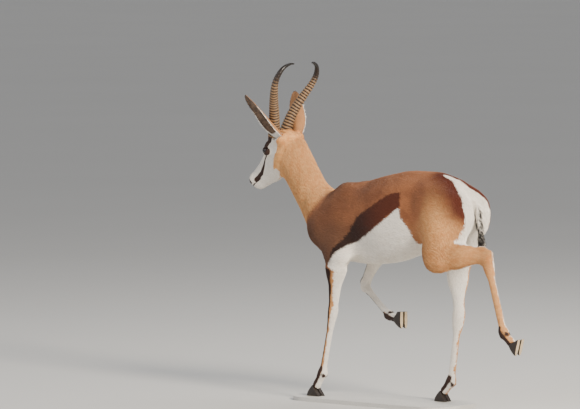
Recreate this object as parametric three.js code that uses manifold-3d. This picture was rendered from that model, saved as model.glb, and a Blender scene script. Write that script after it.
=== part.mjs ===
// A springbok ram at life size, trotting on its left fore and right hind foot, on a flat display base.
// Millimetres, +Z up. The animal heads along -X and its left side faces -Y. The origin is at the middle
// of the underside of the box that holds the whole part.
// The flesh is one smooth field of profile bodies, muscles and bones. It is meshed node by node and
// parted by thin flat cuts, so that each node meets the next one face to face.

import * as THREE from "three";
import { mergeVertices } from "three/addons/utils/BufferGeometryUtils.js";
import Module from "manifold-3d";

const wasm = await Module();
wasm.setup();

// Driving dimensions
const GAP = 0.3; // clearance between touching nodes
const LAP = 0.08; // how far a leg's lofts run past their cuts, as part of the bone
const TRENCH = 2.5; // clearance round a lower leg where it lies against the trunk
const BASE = { length: 690, width: 270, thickness: 14, corner: 80, x: -60, y: -5 };
const LEFT = -1; // sign of Y on each side
const RIGHT = 1;

// The trunk from the side: back line, breast and belly line and half width at named places along X.
const TRUNK = [
  { x: -386, top: 715, bottom: 612, half: 50, keel: 0.1 }, // breast, inside the neck root
  { x: -355, top: 728, bottom: 555, half: 70, keel: 0.25 }, // front of the breast
  { x: -300, top: 726, bottom: 500, half: 82, keel: 0.4 }, // point of shoulder
  { x: -225, top: 747, bottom: 474, half: 90, keel: 0.45 }, // withers and elbows
  { x: -130, top: 768, bottom: 468, half: 104, keel: 0.35 }, // girth
  { x: -20, top: 796, bottom: 478, half: 116, keel: 0.15 }, // last ribs
  { x: 80, top: 812, bottom: 505, half: 112, keel: 0.05 }, // flank
  { x: 160, top: 812, bottom: 545, half: 98, keel: 0 }, // loin
  { x: 245, top: 795, bottom: 580, half: 88, keel: 0 }, // croup
  { x: 300, top: 757, bottom: 600, half: 70, keel: 0 }, // hips
  { x: 336, top: 712, bottom: 620, half: 48, keel: 0 }, // buttocks
];

// The neck along its own axis, from the shoulder up to the poll.
const NECK = {
  from: [-345, 0, 640],
  to: [-478, 0, 868],
  rows: [
    { x: -30, top: 72, bottom: -62, half: 66, keel: 0 },
    { x: 60, top: 64, bottom: -72, half: 58, keel: 0 },
    { x: 140, top: 60, bottom: -80, half: 52, keel: 0 },
    { x: 215, top: 57, bottom: -86, half: 49, keel: 0 },
    { x: 285, top: 46, bottom: -80, half: 44, keel: 0 },
  ],
};

// The head along its own axis, from the poll to the end of the muzzle. Tops are towards the face.
const HEAD = {
  from: [-480, 0, 910],
  to: [-685, 18, 726],
  rows: [
    { x: -12, top: 18, bottom: -66, half: 34, keel: 0.3 }, // behind the poll
    { x: 14, top: 42, bottom: -86, half: 44, keel: 0.3 }, // poll
    { x: 48, top: 60, bottom: -98, half: 46, keel: 0.3 }, // horn bases
    { x: 84, top: 64, bottom: -97, half: 44, keel: 0.3 }, // brow
    { x: 120, top: 48, bottom: -90, half: 38, keel: 0.3 }, // eyes and cheeks
    { x: 157, top: 37, bottom: -74, half: 30, keel: 0.3 },
    { x: 193, top: 31, bottom: -60, half: 25, keel: 0.3 }, // bridge of the nose
    { x: 224, top: 29, bottom: -50, half: 22, keel: 0.3 },
    { x: 249, top: 26, bottom: -42, half: 24, keel: 0.3 }, // nostrils and lips
    { x: 266, top: 14, bottom: -32, half: 19, keel: 0.3 },
  ],
};
const EYE = { at: 101, up: 20, out: 42, radius: 15.5 };
const LIDS = { // angles on the eyeball in degrees
  corner: 70, upper: 34, lower: -30, root: 88, thick: 2.6, // how far from the middle each edge lies
};
const MOUTH = { at: 217, up: -19, slope: 0.12, turn: 104, deep: 3.6, open: 0.9, lip: 2.4 };
const NOSTRIL = { from: [265, 22, 12], to: [250, 10, 6], wide: 6.5, high: 3.4 };
const EAR = {
  at: 20, up: 4, out: 47, stub: 12, length: 200, width: 60, cup: 17, wall: 2.4,
  lean: [-0.45, 0.42, 0.79], // forward, outward and upward
  face: [-0.42, 0.9, 0], // the way the cup opens
};
const HORN = { at: 40, up: 52, out: 29, sunk: 34, base: 21, tip: 3, rings: 17, ringed: 0.72, ridge: 0.13 };
const TAIL = { root: [325, -2, 718], tip: [372, -4, 590], radius: 15, stub: 34, locks: 13, lock: 52 };

// Joint centres of each leg, hip or shoulder first. The last two are the coronet and the tip of the toe.
const LEGS = {
  foreleg_left: {
    side: LEFT, fore: true,
    shoulder: [-288, -74, 590], elbow: [-206, -86, 504], knee: [-232, -78, 302],
    fetlock: [-283, -72, 84], coronet: [-314, -72, 33], toe: [-347, -72, 0],
  },
  foreleg_right: {
    side: RIGHT, fore: true,
    shoulder: [-278, 76, 615], elbow: [-130, 86, 555], knee: [-216, 76, 388],
    fetlock: [-46, 6, 296], coronet: [2, -8, 286], toe: [40, -12, 250],
  },
  hindleg_left: {
    side: LEFT, fore: false,
    hip: [266, -66, 672], stifle: [248, -92, 525], hock: [452, -74, 524],
    fetlock: [524, -72, 272], coronet: [562, -72, 236], toe: [592, -72, 186],
  },
  hindleg_right: {
    side: RIGHT, fore: false,
    hip: [266, 66, 668], stifle: [192, 90, 525], hock: [214, 72, 304],
    fetlock: [184, 68, 72], coronet: [150, 68, 33], toe: [117, 68, 0],
  },
};

// Half thicknesses of the lower legs, fore and aft, then sideways.
const FORE_SIZES = { knee: [19, 18], cannon: [12, 11.5], fetlock: [16, 15], pastern: [12.5, 13] };
const HIND_SIZES = { knee: [21, 17], cannon: [13.5, 11.5], fetlock: [16.5, 15], pastern: [13, 13] };
const HOOF = {
  back: 27, length: 59, height: 42, sole: 33, slope: 45, width: 18, split: 4, squareSole: 0.15, roundTop: 0.7,
};
const DEWCLAW = { length: 17, radius: 5, spread: 8 };
const HEEL = { up: 47, back: 25, radius: 12 };

const COLOURS = {
  coat: [0xb4763f, 0.85], pale: [0xe9dfd2, 0.85], horn: [0x4a3728, 0.5], eye: [0x1a120c, 0.12],
  hoof: [0x2b231f, 0.45], base: [0xd9d4ca, 0.7],
};

// Vectors as plain arrays
const add = (a, b, k = 1) => a.map((v, i) => v + b[i] * k);
const sub = (a, b) => add(a, b, -1);
const scale = (a, k) => a.map((v) => v * k);
const dot = (a, b) => a[0] * b[0] + a[1] * b[1] + a[2] * b[2];
const length = (a) => Math.hypot(...a);
const unit = (a) => scale(a, 1 / length(a));
const cross = (a, b) => [
  a[1] * b[2] - a[2] * b[1], a[2] * b[0] - a[0] * b[2], a[0] * b[1] - a[1] * b[0],
];
const mix = (a, b, t) => add(scale(a, 1 - t), b, t);
const clamp = (v, low, high) => Math.min(high, Math.max(low, v));
const smooth = (low, high, v) => {
  const t = clamp((v - low) / (high - low), 0, 1);
  return t * t * (3 - 2 * t);
};

// Fields are signed distances, negative inside.

// Smooth union: nearby surfaces flow into each other over about the given width.
function blend(width, ...fields) {
  return (p) => {
    let d = fields[0](p);
    for (let i = 1; i < fields.length; i++) {
      const e = fields[i](p);
      const h = clamp(0.5 + (0.5 * (d - e)) / width, 0, 1);
      d = d * (1 - h) + e * h - width * h * (1 - h);
    }
    return d;
  };
}

// A muscle or bone: a cone with round ends from a to b, thinner across than along by the factor flat.
function bone(a, b, ra, rb, flat = 1) {
  const squash = (p) => [p[0], p[1] / flat, p[2]];
  const start = squash(a);
  const axis = sub(squash(b), start);
  const span = dot(axis, axis);
  return (p) => {
    const q = sub(squash(p), start);
    const t = span ? clamp(dot(q, axis) / span, 0, 1) : 0;
    return (length(add(q, axis, -t)) - (ra + (rb - ra) * t)) * Math.min(1, flat);
  };
}

const ball = (at, radii) => (p) => {
  const q = sub(p, at);
  const k0 = length(q.map((v, i) => v / radii[i]));
  const k1 = length(q.map((v, i) => v / radii[i] ** 2));
  return k1 ? (k0 * (k0 - 1)) / k1 : -Math.min(...radii);
};

// One value of a list of rows at x, along a curve that doesn't overshoot.
function along(rows, key, x) {
  const last = rows.length - 1;
  if (x <= rows[0].x) return rows[0][key];
  if (x >= rows[last].x) return rows[last][key];
  let i = 0;
  while (rows[i + 1].x < x) i++;
  const slope = (j) => (rows[j + 1][key] - rows[j][key]) / (rows[j + 1].x - rows[j].x);
  const tangent = (j) => {
    if (j === 0 || j === last) return slope(Math.min(j, last - 1));
    const a = slope(j - 1), b = slope(j);
    return a * b <= 0 ? 0 : (2 * a * b) / (a + b);
  };
  const w = rows[i + 1].x - rows[i].x;
  const t = (x - rows[i].x) / w;
  return (
    rows[i][key] * (1 + 2 * t) * (1 - t) ** 2 + rows[i + 1][key] * t * t * (3 - 2 * t) +
    w * t * (1 - t) * (tangent(i) * (1 - t) - tangent(i + 1) * t)
  );
}

// A body given by its top line, bottom line and half width along an axis, with round ends. A keel of 0.3
// makes it 0.3 narrower at the bottom.
function profile(rows, frame, round, power = 2) {
  const first = rows[0].x, last = rows[rows.length - 1].x;
  return (p) => {
    const q = frame.into(p);
    const top = along(rows, "top", q[0]), bottom = along(rows, "bottom", q[0]);
    const high = (top - bottom) / 2;
    const rise = (q[2] - (top + bottom) / 2) / high;
    const half = along(rows, "half", q[0]) * (1 - along(rows, "keel", q[0]) * clamp(-rise, 0, 1));
    const y = Math.abs(q[1]) / half, z = Math.abs(rise);
    const section = ((y ** power + z ** power) ** (1 / power) - 1) * Math.min(half, high) + round;
    const end = Math.max(first - q[0], q[0] - last) + round;
    return Math.hypot(Math.max(section, 0), Math.max(end, 0)) + Math.min(Math.max(section, end), 0) - round;
  };
}

// A frame whose x runs from one point to another and whose z is as near as it can be to the given up.
function frameOf(from, to, up = [0, 0, 1]) {
  const x = unit(sub(to, from));
  const y = unit(cross(up, x));
  const z = cross(x, y);
  return {
    x, y, z,
    into: (p) => {
      const q = sub(p, from);
      return [dot(q, x), dot(q, y), dot(q, z)];
    },
    out: (q) => add(add(add(from, x, q[0]), y, q[1]), z, q[2]),
  };
}

const WORLD = { into: (p) => p, out: (p) => p };
const neckFrame = frameOf(NECK.from, NECK.to, [1, 0, 0.5]);
const headFrame = frameOf(HEAD.from, HEAD.to, [-1, 0, 1]);

// Solids in manifold-3d
function solidFrom(positions, triangles) {
  const mesh = new wasm.Mesh({
    numProp: 3,
    vertProperties: new Float32Array(positions.flat()),
    triVerts: new Uint32Array(triangles.flat()),
  });
  return new wasm.Manifold(mesh);
}

function solidOf(geometry) {
  const bare = geometry.clone();
  bare.deleteAttribute("normal");
  bare.deleteAttribute("uv");
  const merged = mergeVertices(bare, 1e-3);
  return new wasm.Manifold(
    new wasm.Mesh({
      numProp: 3,
      vertProperties: merged.attributes.position.array,
      triVerts: new Uint32Array(merged.index.array),
    }),
  );
}

// Only the largest closed body is kept.
function largest(solid) {
  const bodies = solid.decompose();
  return bodies.reduce((best, b) => (b.volume() > best.volume() ? b : best), bodies[0]);
}

// Joins the ends of edges that a cut left too short to matter, and of edges where four faces meet.
function weld(solid, shortest = 0.12) {
  const { vertProperties: v, triVerts, numProp, numVert } = solid.getMesh();
  const point = (i) => Array.from(v.subarray(i * numProp, i * numProp + 3));
  const parent = Array.from({ length: numVert }, (_, i) => i);
  const root = (i) => (parent[i] === i ? i : (parent[i] = root(parent[i])));
  const corners = [];
  for (let i = 0; i < triVerts.length; i += 3) corners.push(Array.from(triVerts.subarray(i, i + 3)));
  const edges = corners.flatMap((c) => c.map((a, k) => [a, c[(k + 1) % 3]]));
  const placeOf = (i) => point(i).map((x) => x.toFixed(3)).join();
  const keyOf = (edge) => edge.map(placeOf).sort().join();
  const shared = new Map();
  for (const key of edges.map(keyOf)) shared.set(key, (shared.get(key) ?? 0) + 1);
  for (const edge of edges) {
    const [a, b] = edge;
    const short = length(sub(point(a), point(b))) < shortest;
    if (short || shared.get(keyOf(edge)) > 2) parent[root(a)] = root(b);
  }
  const faces = new Map();
  for (const c of corners) {
    const t = c.map(root);
    if (new Set(t).size < 3) continue;
    const key = [...t].sort((a, b) => a - b).join();
    if (faces.has(key)) faces.delete(key); // two faces back to back
    else faces.set(key, t);
  }
  const used = [...new Set([...faces.values()].flat())];
  const place = new Map(used.map((i, n) => [i, n]));
  return solidFrom(used.map(point), [...faces.values()].map((t) => t.map((i) => place.get(i))));
}

// A big slab that fills the side of a plane towards its normal.
function beyond(point, normal, shift = 0, reach = 1600) {
  const n = unit(normal);
  const turn = new THREE.Quaternion().setFromUnitVectors(new THREE.Vector3(0, 0, 1), new THREE.Vector3(...n));
  const middle = add(point, n, reach / 2 + shift);
  const box = new THREE.BoxGeometry(reach, reach, reach).applyQuaternion(turn).translate(...middle);
  return solidOf(box);
}

// The surface of a field on a grid, one vertex in each crossed cell, moved onto the surface.
function netOf(field, low, high, cell) {
  const n = low.map((v, i) => Math.ceil((high[i] - v) / cell[i]) + 1);
  const at = (i, j, k) => [low[0] + i * cell[0], low[1] + j * cell[1], low[2] + k * cell[2]];
  const index = (i, j, k) => (i * n[1] + j) * n[2] + k;
  const values = new Float32Array(n[0] * n[1] * n[2]);
  for (let i = 0; i < n[0]; i++)
    for (let j = 0; j < n[1]; j++)
      for (let k = 0; k < n[2]; k++) {
        const rim = [i, j, k].some((v, c) => v === 0 || v === n[c] - 1);
        values[index(i, j, k)] = rim ? Math.max(1, field(at(i, j, k))) : field(at(i, j, k));
      }
  const positions = [];
  const vertex = new Map();
  const corners = [];
  for (let c = 0; c < 8; c++) corners.push([c & 1, (c >> 1) & 1, c >> 2]);
  for (let i = 0; i + 1 < n[0]; i++)
    for (let j = 0; j + 1 < n[1]; j++)
      for (let k = 0; k + 1 < n[2]; k++) {
        let sum = [0, 0, 0], count = 0;
        for (let a = 0; a < 8; a++)
          for (const bit of [1, 2, 4]) {
            if (a & bit) continue;
            const ca = corners[a], cb = corners[a | bit];
            const va = values[index(i + ca[0], j + ca[1], k + ca[2])];
            const vb = values[index(i + cb[0], j + cb[1], k + cb[2])];
            if (va < 0 === vb < 0) continue;
            const from = at(i + ca[0], j + ca[1], k + ca[2]);
            const to = at(i + cb[0], j + cb[1], k + cb[2]);
            sum = add(sum, mix(from, to, va / (va - vb)));
            count++;
          }
        if (!count) continue;
        let p = scale(sum, 1 / count);
        const centre = at(i + 0.5, j + 0.5, k + 0.5);
        for (let step = 0; step < 3; step++) p = add(p, slopeOf(field, p), -field(p) * 0.8);
        p = p.map((v, c) => clamp(v, centre[c] - cell[c] * 0.6, centre[c] + cell[c] * 0.6));
        vertex.set(index(i, j, k), positions.length);
        positions.push(p);
      }
  const triangles = [];
  const quad = (a, b, c, d, turned) => {
    const v = [a, b, c, d].map((q) => vertex.get(index(...q)));
    if (turned) v.reverse();
    const span = (p, q) => length(sub(positions[v[p]], positions[v[q]]));
    const first = span(0, 2) < span(1, 3) ? 0 : 1; // the shorter diagonal starts here
    triangles.push(
      [v[first], v[first + 1], v[first + 2]],
      [v[first], v[first + 2], v[(first + 3) % 4]],
    );
  };
  for (let i = 0; i + 1 < n[0]; i++)
    for (let j = 0; j + 1 < n[1]; j++)
      for (let k = 0; k + 1 < n[2]; k++) {
        const inside = values[index(i, j, k)] < 0;
        if (inside !== values[index(i + 1, j, k)] < 0)
          quad([i, j - 1, k - 1], [i, j, k - 1], [i, j, k], [i, j - 1, k], !inside);
        if (inside !== values[index(i, j + 1, k)] < 0)
          quad([i - 1, j, k - 1], [i - 1, j, k], [i, j, k], [i, j, k - 1], !inside);
        if (inside !== values[index(i, j, k + 1)] < 0)
          quad([i - 1, j - 1, k], [i, j - 1, k], [i, j, k], [i - 1, j, k], !inside);
      }
  return largest(solidFrom(positions, triangles));
}

function slopeOf(field, p, step = 0.5) {
  const g = [0, 1, 2].map((i) => {
    const more = [...p], less = [...p];
    more[i] += step;
    less[i] -= step;
    return field(more) - field(less);
  });
  const size = length(g);
  return size ? scale(g, 1 / size) : [0, 0, 0];
}

// A closed skin over rings of points, each ring with the same number of points, with flat ends.
function skinOf(rings) {
  const sides = rings[0].length;
  const positions = rings.flat();
  const middle = (ring) => scale(ring.reduce((a, p) => add(a, p)), 1 / sides);
  const first = positions.push(middle(rings[0])) - 1;
  const last = positions.push(middle(rings[rings.length - 1])) - 1;
  const triangles = [];
  for (let s = 0; s < sides; s++) {
    const t = (s + 1) % sides;
    for (let r = 0; r + 1 < rings.length; r++) {
      const a = r * sides + s, b = r * sides + t, c = a + sides, d = b + sides;
      triangles.push([a, b, d], [a, d, c]);
    }
    triangles.push([first, t, s]);
    triangles.push([last, (rings.length - 1) * sides + s, (rings.length - 1) * sides + t]);
  }
  const made = solidFrom(positions, triangles);
  return made.volume() < 0 ? solidFrom(positions, triangles.map((t) => [...t].reverse())) : made;
}

// Rings of points on a field's surface round a path, found by going out from the path.
function limbOf(field, path, steps, sides, reach, grow = 0) {
  const curve = new THREE.CatmullRomCurve3(path.map((p) => new THREE.Vector3(...p)), false, "centripetal");
  const rings = [];
  for (let i = 0; i <= steps; i++) {
    const middle = curve.getPointAt(i / steps).toArray();
    const ahead = curve.getTangentAt(i / steps).toArray();
    const across = unit(cross(ahead, cross([0, 1, 0], ahead)));
    const front = cross(across, ahead);
    const ring = [];
    for (let s = 0; s < sides; s++) {
      const turn = (2 * Math.PI * s) / sides;
      const ray = add(scale(front, Math.cos(turn)), across, Math.sin(turn));
      let low = 0, high = reach;
      for (let halving = 0; halving < 18; halving++) {
        const half = (low + high) / 2;
        if (field(add(middle, ray, half)) < 0) low = half;
        else high = half;
      }
      ring.push(add(middle, ray, high + grow));
    }
    rings.push(ring);
  }
  return skinOf(rings);
}

// The flesh of one leg as a list of fields. The last one is below the cut that ends the shoulder or thigh.
function legFlesh(leg) {
  const y = (p, d) => [p[0], p[1] + leg.side * d, p[2]];
  if (leg.fore) {
    const bladeTop = [leg.shoulder[0] + 95, leg.side * 48, 715];
    return [
      bone(bladeTop, leg.shoulder, 42, 46, 0.6), // shoulder blade and its muscles
      bone(leg.shoulder, leg.elbow, 52, 42, 0.66), // upper arm
      bone([leg.shoulder[0] + 80, leg.side * 74, 630], leg.elbow, 50, 38, 0.6), // back of the upper arm
      bone(y(leg.elbow, 2), mix(leg.elbow, leg.knee, 0.28), 40, 32, 0.72), // forearm
      bone(mix(leg.elbow, leg.knee, 0.26), leg.knee, 32, 17, 0.78),
    ];
  }
  const seat = [300, leg.side * 44, 680];
  const above = mix(leg.stifle, leg.hock, 0.42);
  return [
    bone(leg.hip, leg.stifle, 80, 54, 0.6), // thigh
    bone([leg.hip[0] - 60, leg.hip[1], leg.hip[2] + 30], leg.stifle, 58, 44, 0.6), // front of the thigh
    bone(seat, above, 56, 25, 0.62), // hamstrings down to the gaskin
    bone(leg.stifle, above, 50, 34, 0.62), // gaskin
    bone(above, leg.hock, 30, 20, 0.72),
  ];
}

function hockFlesh(leg) {
  // The heel bone stands up behind the joint, and the big tendon runs to it.
  const down = unit(sub(leg.fetlock, leg.hock));
  const back = unit(sub(leg.hock, leg.stifle));
  const heel = add(add(leg.hock, down, -HEEL.up), back, HEEL.back);
  const calf = add(mix(leg.stifle, leg.hock, 0.5), down, -22);
  return [
    bone(heel, add(leg.hock, down, 30), HEEL.radius, HEEL.radius, 0.9),
    bone(calf, heel, 16, 8, 0.8),
    bone(leg.hock, add(leg.hock, down, 40), 20, 15, 0.82),
  ];
}

// The lower leg below the knee or hock
function cannonFlesh(leg) {
  const size = leg.fore ? FORE_SIZES : HIND_SIZES;
  const flat = (s) => s[1] / s[0];
  const top = mix(leg.knee ?? leg.hock, leg.fetlock, 0.14);
  return [
    bone(leg.knee ?? leg.hock, top, size.knee[0], size.cannon[0] + 1, flat(size.knee)),
    bone(top, leg.fetlock, size.cannon[0], size.cannon[0], flat(size.cannon)),
    ball(leg.fetlock, [size.fetlock[0], size.fetlock[1], size.fetlock[0] + 3]),
    bone(leg.fetlock, leg.coronet, size.pastern[0], size.pastern[0] + 3, flat(size.pastern) * 1.1),
  ];
}

const legFields = {};
for (const [name, leg] of Object.entries(LEGS)) {
  const upper = legFlesh(leg);
  const lower = cannonFlesh(leg);
  if (!leg.fore) lower.push(...hockFlesh(leg));
  legFields[name] = {
    upper: blend(26, ...upper.slice(0, -1)),
    whole: blend(14, blend(26, ...upper), ...lower),
  };
}

const trunkField = profile(TRUNK, WORLD, 50, 2.25);
const neckField = profile(NECK.rows, neckFrame, 20, 2.1);
const buttocks = [LEFT, RIGHT].map((side) => bone([286, side * 42, 680], [300, side * 44, 640], 54, 46, 0.9));
const body = blend(
  34, trunkField, neckField, bone([-300, 0, 570], [-340, 0, 650], 70, 58, 0.9), ...buttocks,
  ...Object.values(legFields).map((f) => f.upper),
);

// The skull, cheeks and muzzle
const headPoint = (at, out, up) => headFrame.out([at, out, up]);
function headFlesh() {
  const parts = [profile(HEAD.rows, headFrame, 12, 2.2)];
  for (const side of [LEFT, RIGHT]) {
    const y = -side; // the head frame's y runs the other way
    const mound = (from, to, r0, r1) =>
      parts.push(bone(headPoint(from[0], y * from[1], from[2]), headPoint(to[0], y * to[1], to[2]), r0, r1));
    mound([EYE.at - 14, 34, EYE.up + 9], [EYE.at + 12, 33, EYE.up + 3], 18, 15); // rim of the orbit
    mound([70, 22, -34], [120, 20, -40], 25, 20); // cheek
    mound([245, 14, 8], [255, 12, 5], 12, 11); // nostril wing
    mound([HORN.at, HORN.out, 10], [HORN.at - 2, HORN.out, HORN.up - 24], 25, 24); // horn root
    mound([EAR.at, 20, EAR.up - 8], [EAR.at, EAR.out, EAR.up], 24, 20); // ear root
  }
  return blend(12, ...parts);
}
const headField = headFlesh();

const pieces = new Map();
const keep = (name, solid, finish) => pieces.set(name, [largest(weld(largest(solid))), finish]);
const withGap = (planes, shift) =>
  planes.map((w) => beyond(w.point, w.normal, shift)).reduce((a, b) => a.intersect(b));

// Trunk, neck and upper legs are meshed whole and parted by flat cuts.
const TRUNK_CELL = [31, 27, 29];
const whole = netOf(body, [-560, -190, 400], [480, 190, 900], TRUNK_CELL);
const neckCut = { point: [-322, 0, 668], normal: unit([-0.86, 0, 0.62]) };
const legParts = Object.entries(LEGS).map(([name, leg]) => makeLeg(name, leg));

let torso = whole.subtract(beyond(neckCut.point, neckCut.normal, -GAP / 2));
for (const part of legParts) torso = torso.subtract(part.room);

// One leg: the upper part is a wedge of the trunk's flesh, the rest are lofts round the bones.
function makeLeg(name, leg) {
  const field = legFields[name].whole;
  const s = leg.side;
  const joint = leg.knee ?? leg.hock;
  const above = leg.fore ? leg.elbow : leg.stifle;
  const topAt = leg.fore ? 0.2 : 0.3;
  const top = mix(above, joint, topAt);
  const down = unit(sub(joint, above));
  const back = unit([-down[2], 0, down[0]]);
  const shin = unit(sub(leg.fetlock, joint));
  const front = unit([shin[2], 0, -shin[0]]);
  const slant = unit(sub(leg.toe, leg.coronet));
  const dorsal = unit(add(front, slant, -dot(front, slant)));
  const slope = THREE.MathUtils.degToRad(HOOF.slope);
  const ahead = add(scale(slant, Math.cos(slope)), dorsal, Math.sin(slope));
  const up = add(scale(dorsal, Math.cos(slope)), slant, -Math.sin(slope));
  const foot = unit(add(unit(sub(leg.coronet, leg.fetlock)), ahead, 0.5));
  const wedge = leg.fore
    ? [
        { point: [0, s * 52, 560], normal: [0, s, -0.16] },
        { point: [leg.shoulder[0] + 150, 0, 600], normal: [-1, 0, -0.1] },
        { point: [leg.shoulder[0] - 60, 0, 600], normal: [1, 0, 0.1] },
        { point: [0, 0, 712], normal: [0, 0, -1] },
        { point: neckCut.point, normal: scale(neckCut.normal, -1) },
      ]
    : [
        { point: [0, s * 36, 600], normal: [0, s, -0.33] },
        { point: [168, 0, 600], normal: [1, 0, 0.35] },
        { point: [0, 0, 752], normal: [-0.3, 0, -1] },
      ];
  const lower = [
    { point: top, normal: down },
    { point: add(mix(above, joint, 0.5), back, leg.fore ? 62 : 46), normal: scale(back, -1) },
  ];
  keep(name + (leg.fore ? "_shoulder" : "_thigh"),
    whole.intersect(withGap(wedge, GAP / 2)).subtract(withGap(lower, -GAP / 2)), COLOURS.coat);

  const shinTop = mix(joint, leg.fetlock, 0.16);
  const shinEnd = mix(joint, leg.fetlock, 0.88);
  const middleTop = mix(above, joint, topAt - LAP);
  const middlePath = [middleTop, mix(top, joint, 0.6), joint, mix(shinTop, leg.fetlock, LAP)];
  const middle = limbOf(field, middlePath, 11, 12, 95).intersect(withGap(lower, GAP / 2))
    .subtract(beyond(shinTop, shin, -GAP / 2));
  keep(name + (leg.fore ? "_forearm" : "_gaskin"), middle, COLOURS.coat);
  const cannonPath = [mix(shinTop, joint, LAP), mix(shinTop, shinEnd, 0.5), mix(shinEnd, leg.fetlock, LAP)];
  const cannon = limbOf(field, cannonPath, 5, 10, 40)
    .intersect(beyond(shinTop, shin, GAP / 2)).subtract(beyond(shinEnd, shin, -GAP / 2));
  keep(name + "_cannon", cannon, COLOURS.coat);
  const pasternTop = mix(shinEnd, joint, LAP / 2);
  const pasternPath = [pasternTop, leg.fetlock, mix(leg.fetlock, leg.coronet, 0.6), leg.coronet];
  let pastern = limbOf(field, pasternPath, 6, 10, 40);
  for (const where of [-1, 1]) pastern = pastern.add(dewclaw(leg, shin, front, where));
  keep(name + "_pastern", pastern.intersect(beyond(shinEnd, shin, GAP / 2))
    .subtract(beyond(leg.coronet, foot, -GAP / 2)), COLOURS.coat);
  for (const [where, toeSide] of [["inner", -1], ["outer", 1]])
    keep(name + "_hoof_" + where, hoofOf(leg, ahead, up, foot, toeSide), COLOURS.hoof);
  const room = withGap(wedge, -GAP / 2).subtract(withGap(lower, 0))
    .add(limbOf(field, middlePath, 11, 12, 95, TRENCH).intersect(withGap(lower, -GAP / 2)));
  return { room };
}

// A small blunt claw behind the fetlock
function dewclaw(leg, shin, front, where) {
  const root = add(add(leg.fetlock, front, -8), [0, 1, 0], where * DEWCLAW.spread);
  const way = unit(add(scale(front, -1), shin, 0.75));
  const end = add(root, way, DEWCLAW.length);
  const radius = (t, slim) => DEWCLAW.radius * (1 - slim * t * t);
  return tubeOf([root, end], 2, 6, (t) => [radius(t, 0.7), radius(t, 0.6)]);
}

// One claw of a cloven hoof: flat sole, steep wall, pointed toe. A ring is given by its place along the
// claw, the height of its wall and its width as parts of the whole.
function hoofOf(leg, ahead, up, foot, toeSide) {
  const side = cross(up, ahead);
  const across = scale(side, toeSide * leg.side * Math.sign(side[1]));
  const rings = [];
  const rows = [[0, 1, 0.9], [0.5, 1, 1], [0.75, 0.66, 0.92], [0.92, 0.36, 0.62], [1, 0.14, 0.24]];
  for (const [t, high, half] of rows) {
    const middle = add(leg.coronet, ahead, t * HOOF.length - HOOF.back);
    const ring = [];
    for (let s = 0; s < 8; s++) {
      const turn = (2 * Math.PI * (s + 0.5)) / 8;
      const slim = 1 - 0.2 * Math.max(0, Math.sin(turn));
      const roundness = Math.sin(turn) < 0 ? HOOF.squareSole : HOOF.roundTop;
      const bend = Math.sign(Math.cos(turn)) * Math.abs(Math.cos(turn)) ** roundness;
      const wide = (HOOF.split + HOOF.width + bend * HOOF.width * half * slim) / 2;
      const z = clamp(high * (0.5 + 0.54 * Math.sin(turn)), 0, 1) * HOOF.height;
      ring.push(add(add(middle, across, wide), up, z - HOOF.sole));
    }
    rings.push(ring);
  }
  return skinOf(rings).intersect(beyond(leg.coronet, foot, GAP / 2));
}

// Neck between the shoulder cut and the head cut
const headCut = { point: headPoint(8, 0, -20), normal: unit([-0.86, 0, 0.5]) };
const neckWhole = netOf(blend(20, body, headField), [-580, -120, 560], [-230, 120, 960], [23, 21, 23]);
keep("neck", neckWhole.intersect(beyond(neckCut.point, neckCut.normal, GAP / 2))
  .subtract(beyond(headCut.point, headCut.normal, -GAP / 2)), COLOURS.coat);

// Head
let head = netOf(blend(20, headField, neckField), [-700, -95, 660], [-420, 95, 985], [12, 11, 12])
  .intersect(beyond(headCut.point, headCut.normal, GAP / 2));

// A round tube along a curve; size gives its radius along and across at each place from 0 to 1.
function tubeOf(path, steps, sides, size, up = [0, 1, 0]) {
  const curve = new THREE.CatmullRomCurve3(path.map((p) => new THREE.Vector3(...p)), false, "centripetal");
  const rings = [];
  for (let i = 0; i <= steps; i++) {
    const t = i / steps;
    const middle = curve.getPointAt(t).toArray();
    const ahead = curve.getTangentAt(t).toArray();
    const across = unit(cross(ahead, cross(up, ahead)));
    const front = cross(across, ahead);
    const [a, b] = size(t, i);
    rings.push(Array.from({ length: sides }, (_, s) => {
      const turn = (2 * Math.PI * s) / sides;
      return add(add(middle, front, Math.cos(turn) * a), across, Math.sin(turn) * b);
    }));
  }
  return skinOf(rings);
}

// Horns: a lyre curve with raised rings on the lower part and a plain hooked tip. The base is cut slanting,
// and the skull carries a short stump that meets it.
function hornCurve(side) {
  const base = headPoint(HORN.at, -side * HORN.out, HORN.up);
  const rest = [
    [-526, 50, 985], [-504, 78, 1042], [-480, 102, 1090], [-463, 107, 1124],
    [-449, 93, 1154], [-440, 66, 1169], [-434, 50, 1170],
  ].map(([x, y, z]) => [x, side * y, z]);
  const start = add(base, unit(sub(rest[0], base)), -HORN.sunk);
  return { base, path: [start, base, ...rest] };
}

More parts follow.
